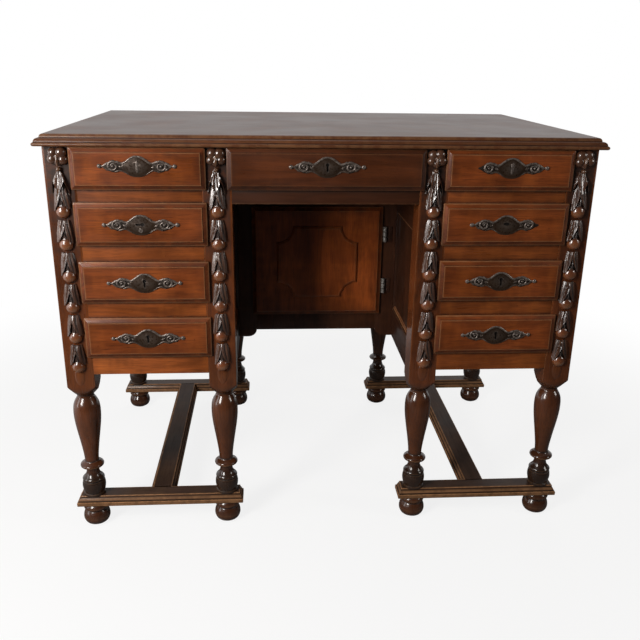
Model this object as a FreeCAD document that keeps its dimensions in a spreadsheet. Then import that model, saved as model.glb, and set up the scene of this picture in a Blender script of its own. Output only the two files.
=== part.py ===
import FreeCAD, Part
import os
from types import SimpleNamespace

import Sketcher

# A kneehole writing desk: two pedestals of four drawers, a centre drawer, a recessed cupboard.
# Millimetres. X runs to the right, Y to the rear, Z up. The origin is on the floor under the middle.

# Driving dimensions. Every cell of the sheet holds one of them.
SIZES = {
    # whole desk
    "desk_width": 1000,
    "desk_depth": 624,
    "desk_height": 780,
    "kneehole_width": 334,
    # table top
    "top_thickness": 20,
    "top_overhang": 14,
    "top_upper_step": 8,
    "top_step_inset": 9,
    "top_thumb_radius": 6,
    "top_torus_radius": 5,
    # posts, legs and feet
    "post_side": 52,
    "neck_height": 288,
    "neck_diameter": 31,
    "tenon_diameter": 20,
    "tenon_depth": 22,
    "tenon_clearance": 0.3,
    "foot_height": 46,
    "foot_diameter": 52,
    # stretchers
    "stretcher_thickness": 21,
    "stretcher_width": 44,
    "middle_stretcher_width": 52,
    "stretcher_overhang": 33,
    "stretcher_edge": 9,
    "stretcher_slope": 7,
    # carved garlands
    "garland_top_gap": 3,
    "garland_berry_diameter": 25,
    "garland_rosette_height": 33,
    "garland_tail": 30,
    # front rails and drawer rows
    "case_bottom": 338,
    "rail_thickness": 20,
    "first_rail_show": 22,
    "rail_show": 28.8,
    "centre_rail_show": 25,
    "bottom_rail_show": 36,
    "top_reveal": 1,
    # lipped fronts of the drawers and the door
    "lip_overlap": 8,
    "lip_edge": 5,
    "lip_rise": 5,
    "lip_slope": 9,
    "closing_gap": 0.3,
    # drawer boxes and what carries them
    "front_block": 14,
    "drawer_length": 520,
    "drawer_side": 10,
    "drawer_bottom": 6,
    "drawer_bottom_lift": 4,
    "drawer_side_gap": 1,
    "drawer_top_gap": 3,
    "running_gap": 0.3,
    "runner_thickness": 14,
    "runner_bearing": 14,
    "guide_height": 30,
    # side frames, backs and boards
    "side_setback": 2,
    "side_rail_thickness": 19,
    "side_panel_inset": 6,
    "side_bottom_rail": 47,
    "side_top_rail": 158,
    "back_setback": 4,
    "back_thickness": 10,
    "board_thickness": 10,
    # cupboard in the kneehole
    "cupboard_setback": 238,
    "cupboard_frame_thickness": 18,
    "cupboard_stile": 38,
    "cupboard_stile_drop": 16,
    "cupboard_bottom_rail": 45,
    "cupboard_top_rail": 56,
    # cupboard door
    "door_block": 12,
    "door_gap": 1.5,
    "door_panel_thickness": 5,
    "door_panel_notch": 34,
    "door_panel_step": 8,
    # barrel hinges
    "hinge_height": 33,
    "hinge_knuckle_diameter": 8,
    "hinge_pin_diameter": 3.2,
    "hinge_leaf": 1.4,
    "hinge_leaf_width": 16,
    "hinge_gap": 0.4,
    # escutcheons
    "escutcheon_width": 136,
    "escutcheon_height": 38,
    "escutcheon_thickness": 2.2,
    "escutcheon_raise": 4.5,
    "keyhole_diameter": 5,
    "keyhole_slot_width": 2.4,
    "keyhole_slot_length": 9,
    # every cutter runs past the piece by this much
    "overrun": 1,
}

# Turned leg, from the stretcher up: shares of the turned height and of the post's side.
LEG_BASE_SHARES = [(0.0, 0.400), (0.022, 0.400)]
LEG_VASE_SHARES = [(0.026, 0.380), (0.085, 0.437), (0.138, 0.412)]
LEG_STEP_SHARES = [(0.142, 0.392), (0.160, 0.405)]
LEG_SWEEP_SHARES = [(0.198, 0.285), (0.240, 0.232)]
LEG_RING_SHARES = [(0.282, 0.232), (0.288, 0.400), (0.307, 0.437), (0.326, 0.400), (0.334, 0.262)]
LEG_TAPER_SHARES = [(0.345, 0.252), (0.530, 0.352), (0.700, 0.462)]
LEG_BELLY_SHARES = [(0.830, 0.520), (0.930, 0.435)]
LEG_SHOULDER_SHARES = [(0.968, 0.365), (0.985, 0.300)]
# The lathe cut that rounds the lower end of a post gains this much radius per height.
POST_CUT_SHARE = 1.0

# Bun foot: shares of its height and of its diameter.
FOOT_SOLE_SHARE = 0.29
FOOT_BUN_SHARES = [(0.34, 0.500), (0.72, 0.435)]
FOOT_COLLAR_SHARES = [(0.86, 0.475), (1.0, 0.425)]

# Garland: radii as shares of a berry's diameter, heights as shares of the pitch or of the piece.
GARLAND_BERRIES = 6
GARLAND_PITCH_SHARE = 0.124
ROSETTE_SHARES = [(0.50, 0.52), (1.0, 0.20)]
KNOT_SHARE = 0.20
HUSK_SHARES = [(0.62, 0.34), (0.22, 0.50), (0.12, 0.40)]
BERRY_LOW_SHARE = 0.16
FIRST_BERRY_SHARE = 1.3
TAIL_SHARES = [(0.50, 0.30), (1.0, 0.10)]

# Escutcheon, right half from its lowest point to its highest: shares of half its width and height.
# Every arc has a middle point and an end point.
ESCUTCHEON_SHARES = [
    ((0.17, -0.82), (0.28, -0.42)),
    ((0.45, -0.64), (0.60, -0.30)),
    ((0.78, -0.30), (0.90, -0.10)),
    ((1.00, 0.03), (0.90, 0.16)),
    ((0.76, 0.32), (0.62, 0.28)),
    ((0.46, 0.68), (0.28, 0.44)),
    ((0.17, 0.86), (0.00, 1.00)),
]
KEYHOLE_LIFT_SHARE = 0.2

# The top row's share of the height that the four fronts of a pedestal take up.
TOP_FRONT_SHARE = 0.23903
# The raised panel's width and height as shares of the door's flat field.
DOOR_PANEL_SHARES = (0.6615, 0.7091)
# Shares of the notch's size at the middle of its round, and of the door's height at the hinges.
NOTCH_MIDDLE_SHARE = 0.73
HINGE_PLACE_SHARES = [0.20, 0.68]
KNUCKLE_SHARE = 0.32
HINGE_BRIDGE_SHARE = 0.25

# Rows of drawers under the top row, and how near two coordinates count as the same.
LOWER_ROWS = 3
SAME = 1e-4


class Size:
    """A number of the model together with the sheet expression that gives it."""

    def __init__(self, number, text):
        self.number = float(number)
        self.text = text

    def join(self, sign, number, other):
        return Size(number, f"({self.text} {sign} {other.text})")

    def __add__(self, other):
        other = as_size(other)
        return self.join("+", self.number + other.number, other)

    def __sub__(self, other):
        other = as_size(other)
        return self.join("-", self.number - other.number, other)

    def __mul__(self, other):
        other = as_size(other)
        return self.join("*", self.number * other.number, other)

    def __truediv__(self, other):
        other = as_size(other)
        return self.join("/", self.number / other.number, other)

    def __neg__(self):
        return ZERO - self


def as_size(value):
    if isinstance(value, Size):
        return value
    return Size(value, repr(float(value)))


ZERO = Size(0, "0")

document = FreeCAD.newDocument("kneehole_desk")
sheet = document.addObject("Spreadsheet::Sheet", "Sizes")
for row, (name, value) in enumerate(SIZES.items(), start=1):
    sheet.set(f"A{row}", name)
    sheet.set(f"B{row}", str(value))
    sheet.setAlias(f"B{row}", name)
document.recompute()
s = SimpleNamespace(**{name: Size(value, "Sizes." + name) for name, value in SIZES.items()})

nodes = []


# Small helpers

def bind(thing, name, value):
    thing.setExpression(name, value.text)


def place(thing, x, y, z):
    for axis, value in zip("xyz", (x, y, z)):
        bind(thing, "Placement.Base." + axis, value)


def box(name, x, y, z):
    """A straight board between the low and high values of x, y and z."""
    board = document.addObject("Part::Box", name)
    for side, (low, high) in zip(("Length", "Width", "Height"), (x, y, z)):
        bind(board, side, high - low)
    place(board, x[0], y[0], z[0])
    return board


def cylinder(name, x, y, z, radius):
    """An upright round bar about x, y between the low and high values of z."""
    bar = document.addObject("Part::Cylinder", name)
    bind(bar, "Radius", radius)
    bind(bar, "Height", z[1] - z[0])
    place(bar, x, y, z[0])
    return bar


def tapered(name, y, near, far):
    """A block between two depths whose outline runs from near (at y[0]) to far (at y[1])."""
    block = document.addObject("Part::Wedge", name)
    values = {"Ymin": y[0], "Ymax": y[1]}
    for ending, (x, z) in (("", near), ("2", far)):
        values[f"X{ending}min"], values[f"X{ending}max"] = x
        values[f"Z{ending}min"], values[f"Z{ending}max"] = z
    for name_of_value, value in values.items():
        bind(block, name_of_value, value)
    return block


def fused(name, pieces):
    solid = document.addObject("Part::MultiFuse", name)
    solid.Shapes = pieces
    solid.Refine = True
    return solid


def cut(name, base, tool):
    solid = document.addObject("Part::Cut", name)
    solid.Base = base
    solid.Tool = tool
    return solid


def group(name, pieces):
    together = document.addObject("Part::Compound", name)
    together.Links = pieces
    return together


def placed(name, pattern, x, y, z):
    copy = group(name, [pattern])
    place(copy, x, y, z)
    return copy


def node(piece):
    """Marks a piece as a sub-part of the desk: its label names its file."""
    piece.Label = piece.Name
    nodes.append(piece)
    return piece


def mirrored(side, near, far):
    """The low and high x of something between two distances from the middle, on one side."""
    return (near, far) if side > 0 else (-far, -near)


def around(middle, width):
    return middle - width / 2, middle + width / 2


# Sketches

def vector(point):
    return FreeCAD.Vector(point[0].number, point[1].number, 0)


def new_body(name):
    return document.addObject("PartDesign::Body", name)


def new_sketch(body, role):
    sketch = body.newObject("Sketcher::SketchObject", body.Name + "_outline")
    plane = [item for item in body.Origin.OriginFeatures if item.Role == role]
    sketch.AttachmentSupport = [(plane[0], "")]
    sketch.MapMode = "FlatFace"
    return sketch


def fix_point(sketch, name, geometry, end, point):
    """Holds one end of a sketch line at a point whose sizes come from the sheet."""
    axes = (("DistanceX", "x", -2), ("DistanceY", "y", -1))
    for (kind, letter, axis), value in zip(axes, point):
        if value.number == 0:
            sketch.addConstraint(Sketcher.Constraint("PointOnObject", geometry, end, axis))
        else:
            index = sketch.addConstraint(Sketcher.Constraint(kind, geometry, end, value.number))
            sketch.renameConstraint(index, letter + name)
            sketch.setExpression("Constraints." + letter + name, value.text)


def draw(sketch, start, steps):
    """Draws a closed outline. A step is [end] for a line, or [middle, end] for an arc."""
    ends = []
    here = start
    for number, step in enumerate(steps):
        there = step[-1]
        tag = f"{sketch.GeometryCount}_{number}"
        if len(step) == 1:
            line = sketch.addGeometry(Part.LineSegment(vector(here), vector(there)))
            ends.append((line, 1, 2))
        else:
            chord = vector(step[0]) - vector(here)
            turn = chord.cross(vector(there) - vector(step[0])).z
            points = [vector(here), vector(step[0]), vector(there)]
            if turn < 0:
                points.reverse()
            arc = sketch.addGeometry(Part.Arc(*points))
            ends.append((arc, 1, 2) if turn > 0 else (arc, 2, 1))
            middle = sketch.addGeometry(Part.Point(vector(step[0])), True)
            fix_point(sketch, "middle" + tag, middle, 1, step[0])
            sketch.addConstraint(Sketcher.Constraint("PointOnObject", middle, 1, arc))
        fix_point(sketch, "start" + tag, ends[-1][0], ends[-1][1], here)
        here = there
    for before, after in zip(ends, ends[1:] + ends[:1]):
        sketch.addConstraint(Sketcher.Constraint("Coincident", before[0], before[2], after[0], after[1]))


def rectangle(x, y):
    """The start and steps of a rectangle between the low and high values of x and y."""
    return (x[0], y[0]), [[(x[1], y[0])], [(x[1], y[1])], [(x[0], y[1])], [(x[0], y[0])]]


def turned(name, start, steps, angle=360):
    """A turned piece: its outline is radius and height, and it turns about the upright axis.

    Half a turn gives a relief that stands out to the front.
    """
    body = new_body(name)
    sketch = new_sketch(body, "XZ_Plane")
    draw(sketch, start, steps)
    turning = body.newObject("PartDesign::Revolution", name + "_turning")
    turning.Profile = sketch
    turning.ReferenceAxis = (sketch, ["V_Axis"])
    turning.Angle = angle
    turning.Reversed = True
    return body


def sawn(name, start, steps, thickness):
    """A flat piece sawn to an outline that faces the front, as thick as given."""
    body = new_body(name)
    sketch = new_sketch(body, "XZ_Plane")
    draw(sketch, start, steps)
    pad = body.newObject("PartDesign::Pad", name + "_pad")
    pad.Profile = sketch
    bind(pad, "Length", thickness)
    return body


# Main places, all worked out from the driving dimensions

half_width = s.desk_width / 2
half_depth = s.desk_depth / 2
top_underside = s.desk_height - s.top_thickness
post_outer = half_width - s.top_overhang
post_front = half_depth - s.top_overhang
half_post = s.post_side / 2
outer_leg = post_outer - half_post
half_kneehole = s.kneehole_width / 2
inner_leg = half_kneehole + half_post
leg_depth = post_front - half_post
pedestal_middle = (outer_leg + inner_leg) / 2
leg_spacing = outer_leg - inner_leg
stretcher_top = s.foot_height + s.stretcher_thickness
post_rear = post_front - s.post_side

opening_low = inner_leg + half_post
opening_high = outer_leg - half_post
opening_width = opening_high - opening_low

# The fronts share what the rails leave of the case's height. Then the rows from the top down, by
# the lower edge of each front.
all_fronts = (top_underside - s.top_reveal - s.first_rail_show - s.rail_show * (LOWER_ROWS - 1)
              - s.bottom_rail_show - s.case_bottom)
top_front = all_fronts * TOP_FRONT_SHARE
low_front = (all_fronts - top_front) / LOWER_ROWS
row_bottoms = [top_underside - s.top_reveal - top_front]
rails_shown = [s.first_rail_show] + [s.rail_show] * (LOWER_ROWS - 1)
for rail_shown in rails_shown:
    row_bottoms.append(row_bottoms[-1] - rail_shown - low_front)

side_outer_face = post_outer - s.side_setback
side_outer_inside = side_outer_face - s.side_rail_thickness
side_inner_face = half_kneehole + s.side_setback
side_inner_inside = side_inner_face + s.side_rail_thickness

cupboard_front = -post_front + s.cupboard_setback
cupboard_inside = cupboard_front + s.cupboard_frame_thickness
cupboard_top = row_bottoms[0] - s.centre_rail_show
back_front = post_front - s.back_setback - s.back_thickness

HANDS = (("left", -1), ("right", 1))
CORNERS = [("left", -1, "outer", outer_leg), ("left", -1, "inner", inner_leg),
           ("right", 1, "inner", inner_leg), ("right", 1, "outer", outer_leg)]


# Table top: a broad slab with a rounded edge, and a smaller slab with a thumb moulding on it

def edges_at(shape, half_length, heights):
    """Names of the level edges of a slab, on its outline at half_length, at the given heights."""
    names = []
    for index, edge in enumerate(shape.Edges, start=1):
        bounds = edge.BoundBox
        level = any(abs(bounds.ZMin - h.number) + abs(bounds.ZMax - h.number) < SAME for h in heights)
        reach = max(abs(bounds.XMin), abs(bounds.XMax))
        if level and abs(reach - half_length.number) < SAME:
            names.append(f"Edge{index}")
    return names


def round_edges(body, pad, names, radius):
    rounding = body.newObject("PartDesign::Fillet", pad.Name + "_rounding")
    rounding.Base = (pad, names)
    bind(rounding, "Radius", radius)
    document.recompute()
    return rounding


def slab(name, half_x, half_y, z, top_radius, low_radius):
    body = new_body(name)
    sketch = new_sketch(body, "XY_Plane")
    draw(sketch, *rectangle((-half_x, half_x), (-half_y, half_y)))
    pad = body.newObject("PartDesign::Pad", name + "_pad")
    pad.Profile = sketch
    thickness = z[1] - z[0]
    bind(pad, "Length", thickness)
    document.recompute()
    upper = round_edges(body, pad, edges_at(pad.Shape, half_x, [thickness]), top_radius)
    if low_radius:
        round_edges(body, upper, edges_at(upper.Shape, half_x, [ZERO]), low_radius)
    place(body, ZERO, ZERO, z[0])
    return body


def make_top():
    step = s.desk_height - s.top_upper_step
    lower = slab("top_lower_slab", half_width, half_depth, (top_underside, step),
                 s.top_torus_radius, s.top_torus_radius)
    upper = slab("top_upper_slab", half_width - s.top_step_inset, half_depth - s.top_step_inset,
                 (step, s.desk_height), s.top_thumb_radius, None)
    node(fused("top_board", [lower, upper]))


# Posts with their turned legs, and the bun feet

def make_legs():
    turned_height = s.neck_height - stretcher_top

    def on_leg(shares):
        return s.post_side * shares[1], stretcher_top + turned_height * shares[0]

    neck = s.neck_diameter / 2
    tenon = s.tenon_diameter / 2
    tenon_end = s.foot_height - s.tenon_depth
    vase = [on_leg(shares) for shares in LEG_VASE_SHARES]
    sweep = [on_leg(shares) for shares in LEG_SWEEP_SHARES]
    ring = [on_leg(shares) for shares in LEG_RING_SHARES]
    taper = [on_leg(shares) for shares in LEG_TAPER_SHARES]
    belly = [on_leg(shares) for shares in LEG_BELLY_SHARES]
    steps = [[(tenon, tenon_end)], [(tenon, stretcher_top)]]
    steps += [[on_leg(shares)] for shares in LEG_BASE_SHARES]
    steps += [[vase[0]], vase[1:]]
    steps += [[on_leg(shares)] for shares in LEG_STEP_SHARES]
    steps += [sweep, [ring[0]], [ring[1]], ring[2:4], [ring[4]]]
    steps += [[taper[0]], taper[1:], belly]
    steps += [[on_leg(shares)] for shares in LEG_SHOULDER_SHARES]
    steps += [[(neck, s.neck_height)], [(ZERO, s.neck_height)], [(ZERO, tenon_end)]]
    turning = turned("leg_pattern_turned", (ZERO, tenon_end), steps)

    post_height = top_underside - s.neck_height
    square = box("leg_pattern_square", around(ZERO, s.post_side), around(ZERO, s.post_side),
                 (s.neck_height, top_underside))
    lathe = document.addObject("Part::Cone", "leg_pattern_lathe_cut")
    bind(lathe, "Radius1", neck)
    bind(lathe, "Radius2", neck + post_height * POST_CUT_SHARE)
    bind(lathe, "Height", post_height)
    place(lathe, ZERO, ZERO, s.neck_height)
    post = document.addObject("Part::Common", "leg_pattern_post")
    post.Base = square
    post.Tool = lathe
    leg = fused("leg_pattern", [post, turning])
    for where, y in (("front", -leg_depth), ("rear", leg_depth)):
        for hand, side, place_name, x in CORNERS:
            node(placed(f"{hand}_{place_name}_{where}_leg", leg, x * side, y, ZERO))


def make_feet():
    def on_foot(shares):
        return s.foot_diameter * shares[1], s.foot_height * shares[0]

    hole = s.tenon_diameter / 2 + s.tenon_clearance
    hole_end = s.foot_height - s.tenon_depth - s.tenon_clearance
    steps = [[(s.foot_diameter * FOOT_SOLE_SHARE, ZERO)]]
    steps += [[on_foot(shares) for shares in FOOT_BUN_SHARES]]
    steps += [[on_foot(shares) for shares in FOOT_COLLAR_SHARES]]
    steps += [[(hole, s.foot_height)], [(hole, hole_end)], [(ZERO, hole_end)], [(ZERO, ZERO)]]
    foot = turned("foot_pattern", (ZERO, ZERO), steps)
    feet = []
    for where, y in (("front", -leg_depth), ("rear", leg_depth)):
        for hand, side, place_name, x in CORNERS:
            feet.append(placed(f"foot_{hand}_{place_name}_{where}", foot, x * side, y, ZERO))
    node(group("bun_feet", feet))


# Stretchers: an upright edge below, a sloping moulding above, the middle one coped to the others

def stretcher_bar(name, x, width):
    """A bar along X, with moulded ends, its underside at height zero."""
    half = width / 2
    lower = box(name + "_edge", x, (-half, half), (ZERO, s.stretcher_edge))
    inner = half - s.stretcher_slope
    upper = tapered(name + "_moulding", (s.stretcher_edge, s.stretcher_thickness),
                    (x, (-half, half)),
                    ((x[0] + s.stretcher_slope, x[1] - s.stretcher_slope), (-inner, inner)))
    upper.Placement.Rotation = FreeCAD.Rotation(FreeCAD.Vector(1, 0, 0), 90)
    return fused(name, [lower, upper])


def make_stretchers():
    half_length = leg_spacing / 2 + s.stretcher_overhang
    blank = stretcher_bar("stretcher_blank", (-half_length, half_length), s.stretcher_width)
    hole = s.tenon_diameter / 2 + s.tenon_clearance
    past = (-s.overrun, s.stretcher_thickness + s.overrun)
    holes = [cylinder(f"stretcher_hole_{end}", leg_spacing / 2 * sign, ZERO, past, hole)
             for end, sign in (("low", -1), ("high", 1))]
    drilled = cut("stretcher_pattern", blank, group("stretcher_holes", holes))
    long_bar = stretcher_bar("stretcher_long_bar", (-leg_depth, leg_depth),
                             s.middle_stretcher_width)
    turned_bar = group("stretcher_turned_bar", [long_bar])
    turned_bar.Placement.Rotation = FreeCAD.Rotation(FreeCAD.Vector(0, 0, 1), 90)
    crossings = [placed("stretcher_crossing_" + where, blank, ZERO, y, ZERO)
                 for where, y in (("front", -leg_depth), ("rear", leg_depth))]
    middle = cut("stretcher_middle_pattern", turned_bar, group("stretcher_crossings", crossings))
    for hand, side in HANDS:
        x = pedestal_middle * side
        node(placed(hand + "_front_stretcher", drilled, x, -leg_depth, s.foot_height))
        node(placed(hand + "_rear_stretcher", drilled, x, leg_depth, s.foot_height))
        node(placed(hand + "_middle_stretcher", middle, x, ZERO, s.foot_height))


# Garlands: a rosette, then husks that each end in a berry, then a tail, in half relief

def make_garlands():
    berry = s.garland_berry_diameter / 2
    top = top_underside - s.garland_top_gap
    pitch = (top_underside - s.neck_height) * GARLAND_PITCH_SHARE

    def radius(share):
        return s.garland_berry_diameter * share

    rosette = [(radius(across), top - s.garland_rosette_height * down) for down, across in ROSETTE_SHARES]
    steps = [[(radius(KNOT_SHARE), top)], rosette]
    centre = top - s.garland_rosette_height - pitch * FIRST_BERRY_SHARE
    for berry_number in range(GARLAND_BERRIES):
        husk = [(radius(across), centre + pitch * up) for up, across in HUSK_SHARES]
        steps += [husk[:2], [husk[2]]]
        steps += [[(berry, centre), (radius(BERRY_LOW_SHARE), centre - berry)]]
        centre = centre - pitch
    last = centre + pitch - berry
    steps += [[(radius(across), last - s.garland_tail * down) for down, across in TAIL_SHARES]]
    end = last - s.garland_tail * TAIL_SHARES[-1][0]
    steps += [[(ZERO, end)], [(ZERO, top)]]
    garland = turned("garland_pattern", (ZERO, top), steps, angle=180)
    for hand, side in HANDS:
        pair = [placed(f"{hand}_{place_name}_garland", garland, x * side, -post_front, ZERO)
                for place_name, x in (("outer", outer_leg), ("inner", inner_leg))]
        node(group(hand + "_garlands", pair))


# Rails between the drawers, seen from the front

def make_front_rails():
    y = (-post_front, -post_front + s.rail_thickness)
    rails = []
    for hand, side in HANDS:
        x = mirrored(side, opening_low, opening_high)
        lows = [bottom - shown - s.lip_overlap for bottom, shown in zip(row_bottoms, rails_shown)]
        lows.append(s.case_bottom)
        for row, (bottom, low) in enumerate(zip(row_bottoms, lows), start=1):
            rails.append(box(f"{hand}_rail_{row}", x, y, (low, bottom + s.lip_overlap)))
    rails.append(box("centre_rail", (-half_kneehole, half_kneehole), y,
                     (cupboard_top, row_bottoms[0] + s.lip_overlap)))
    node(group("front_rails", rails))


# Side frames: a top rail, a bottom rail and a panel that stands back from their outer face

def make_sides():
    y = (-post_rear, post_rear)
    panel_low = s.case_bottom + s.side_bottom_rail
    panel_high = top_underside - s.side_top_rail
    inset = s.side_panel_inset
    outer_rail = (side_outer_inside, side_outer_face)
    inner_rail = (side_inner_face, side_inner_inside)
    inner_low = s.case_bottom - s.cupboard_stile_drop
    walls = (("outer", outer_rail, (side_outer_inside, side_outer_face - inset), s.case_bottom),
             ("inner", inner_rail, (side_inner_face + inset, side_inner_inside), inner_low))
    for hand, side in HANDS:
        for wall, rail, panel, low in walls:
            name = f"{hand}_{wall}_side"
            rail_x = mirrored(side, *rail)
            panel_x = mirrored(side, *panel)
            node(group(name, [
                box(name + "_bottom_rail", rail_x, y, (low, panel_low)),
                box(name + "_top_rail", rail_x, y, (panel_high, top_underside)),
                box(name + "_panel", panel_x, y, (panel_low, panel_high)),
            ]))


# Back boards, bottom boards and the boards of the cupboard

def make_boards():
    back_y = (back_front, back_front + s.back_thickness)
    back_z = (s.case_bottom, top_underside)
    backs = [box(f"{hand}_back", mirrored(side, opening_low, opening_high), back_y, back_z)
             for hand, side in HANDS]
    backs.append(box("centre_back", (-half_kneehole, half_kneehole), back_y, back_z))
    node(group("back_boards", backs))

    low_z = (s.case_bottom, s.case_bottom + s.board_thickness)
    bottoms = [box(f"{hand}_bottom", mirrored(side, side_inner_inside, side_outer_inside),
                   (-post_rear, post_rear), low_z) for hand, side in HANDS]
    node(group("bottom_boards", bottoms))

    shelf_x = (-half_kneehole, half_kneehole)
    shelf_y = (cupboard_inside, back_front)
    ceiling_z = (cupboard_top - s.board_thickness, cupboard_top)
    node(group("cupboard_boards", [box("cupboard_floor", shelf_x, shelf_y, low_z),
                                   box("cupboard_ceiling", shelf_x, shelf_y, ceiling_z)]))


# Runners under the drawers and guides beside them

def make_runners():
    y = (-post_rear, post_rear)
    pieces = []
    for hand, side in HANDS:
        for row, bottom in enumerate(row_bottoms, start=1):
            floor = bottom + s.lip_overlap
            runner_z = (floor - s.runner_thickness, floor)
            guide_z = (floor, floor + s.guide_height)
            walls = (("inner", side_inner_inside, opening_low, opening_low + s.runner_bearing),
                     ("outer", side_outer_inside, opening_high, opening_high - s.runner_bearing))
            for wall, face, guide_edge, runner_edge in walls:
                name = f"{hand}_{wall}_row_{row}"
                low_first = wall == "inner"
                runner = (face, runner_edge) if low_first else (runner_edge, face)
                guide = (face, guide_edge) if low_first else (guide_edge, face)
                pieces.append(box(name + "_runner", mirrored(side, *runner), y, runner_z))
                pieces.append(box(name + "_guide", mirrored(side, *guide), y, guide_z))
        floor = row_bottoms[0] + s.lip_overlap
        near = half_kneehole - s.runner_bearing
        pieces.append(box(f"{hand}_centre_runner", mirrored(side, near, side_inner_face), y,
                          (floor - s.runner_thickness, floor)))
    node(group("drawer_runners", pieces))


# Lipped fronts: a lip with a sloping moulding in front, a block that fills the opening behind

def lipped_front(name, width, height, block_width, block_z, block_depth):
    """Made about x = 0 on z = 0, with its lip's rear face at y = 0."""
    edge_x = around(ZERO, width)
    field_x = around(ZERO, width - s.lip_slope * 2)
    lip = box(name + "_lip", edge_x, (-s.lip_edge, ZERO), (ZERO, height))
    slope = tapered(name + "_slope", (-s.lip_edge - s.lip_rise, -s.lip_edge),
                    (field_x, (s.lip_slope, height - s.lip_slope)), (edge_x, (ZERO, height)))
    block = box(name + "_block", around(ZERO, block_width), (ZERO, block_depth), block_z)
    return fused(name, [lip, slope, block])


def drawer_box(name, width, height):
    """Two sides, a back and a bottom, made about x = 0 from the rear of the front block."""
    half = width / 2
    inside = half - s.drawer_side
    back = (s.drawer_length - s.drawer_side, s.drawer_length)
    tall = (ZERO, height)
    long = (ZERO, s.drawer_length)
    floor = (s.drawer_bottom_lift, s.drawer_bottom_lift + s.drawer_bottom)
    return group(name, [
        box(name + "_left_side", (-half, -inside), long, tall),
        box(name + "_right_side", (inside, half), long, tall),
        box(name + "_back", (-inside, inside), back, tall),
        box(name + "_bottom", (-inside, inside), (ZERO, back[0]), floor),
    ])


def make_escutcheon():
    half_x = s.escutcheon_width / 2
    half_z = s.escutcheon_height / 2

    def at(shares, side):
        return half_x * (shares[0] * side), half_z * shares[1]

    start_share = (0.0, -1.0)
    right = [[at(middle, 1), at(end, 1)] for middle, end in ESCUTCHEON_SHARES]
    ends = [start_share] + [end for middle, end in ESCUTCHEON_SHARES]
    left = [[at(middle, -1), at(ends[index], -1)]
            for index, (middle, end) in reversed(list(enumerate(ESCUTCHEON_SHARES)))]
    plate = sawn("escutcheon_plate", at(start_share, 1), right + left, s.escutcheon_thickness)
    lift = half_z * KEYHOLE_LIFT_SHARE
    eye = document.addObject("Part::Cylinder", "keyhole_eye")
    bind(eye, "Radius", s.keyhole_diameter / 2)
    bind(eye, "Height", s.escutcheon_thickness + s.overrun * 2)
    eye.Placement.Rotation = FreeCAD.Rotation(FreeCAD.Vector(1, 0, 0), 90)
    place(eye, ZERO, s.overrun, lift)
    slot = box("keyhole_slot", around(ZERO, s.keyhole_slot_width),
               (-s.escutcheon_thickness - s.overrun, s.overrun), (lift - s.keyhole_slot_length, lift))
    return cut("escutcheon_pattern", plate, group("keyhole", [eye, slot]))


def make_drawers():
    escutcheon = make_escutcheon()
    field_y = -post_front - s.closing_gap - s.lip_edge - s.lip_rise
    block_low = s.lip_overlap + s.running_gap
    top_opening = top_underside - row_bottoms[0] - s.lip_overlap
    low_opening = low_front - s.lip_overlap * 2
    spare = s.drawer_top_gap + s.running_gap

    def kind(name, opening, front_height, opening_height):
        height = opening_height - spare
        width = opening - s.drawer_side_gap * 2
        front = lipped_front(name + "_front_pattern", opening + s.lip_overlap * 2, front_height,
                             width, (block_low, block_low + height), s.front_block)
        return front, drawer_box(name + "_box_pattern", width, height), front_height

    centre_kind = kind("centre", s.kneehole_width, top_front, top_opening)
    top_kind = kind("top", opening_width, top_front, top_opening)
    low_kind = kind("low", opening_width, low_front, low_opening)

    def drawer(name, pieces, x, bottom, raised=ZERO):
        front, tray, front_height = pieces
        y = -post_front - s.closing_gap
        node(placed(name + "_front", front, x, y, bottom))
        node(placed(name + "_box", tray, x, y + s.front_block, bottom + block_low))
        node(placed(name + "_escutcheon", escutcheon, x, field_y, bottom + front_height / 2 + raised))

    drawer("centre_drawer", centre_kind, ZERO, row_bottoms[0], s.escutcheon_raise)
    for hand, side in HANDS:
        for row, bottom in enumerate(row_bottoms, start=1):
            pieces, raised = (top_kind, s.escutcheon_raise) if row == 1 else (low_kind, ZERO)
            drawer(f"{hand}_drawer_{row}", pieces, pedestal_middle * side, bottom, raised)


# Cupboard: frame, door, shaped panel and hinges

opening_half = side_inner_face - s.cupboard_stile
opening_bottom = s.case_bottom + s.cupboard_bottom_rail
opening_top = cupboard_top - s.cupboard_top_rail
door_half = opening_half + s.lip_overlap
door_height = opening_top - opening_bottom + s.lip_overlap * 2
door_bottom = opening_bottom - s.lip_overlap


def make_cupboard_frame():
    y = (cupboard_front, cupboard_inside)
    stile_z = (s.case_bottom - s.cupboard_stile_drop, cupboard_top)
    rail_x = (-opening_half, opening_half)
    node(group("cupboard_frame", [
        box("cupboard_left_stile", mirrored(-1, opening_half, side_inner_face), y, stile_z),
        box("cupboard_right_stile", mirrored(1, opening_half, side_inner_face), y, stile_z),
        box("cupboard_bottom_rail_board", rail_x, y, (s.case_bottom, opening_bottom)),
        box("cupboard_top_rail_board", rail_x, y, (opening_top, cupboard_top)),
    ]))


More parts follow.
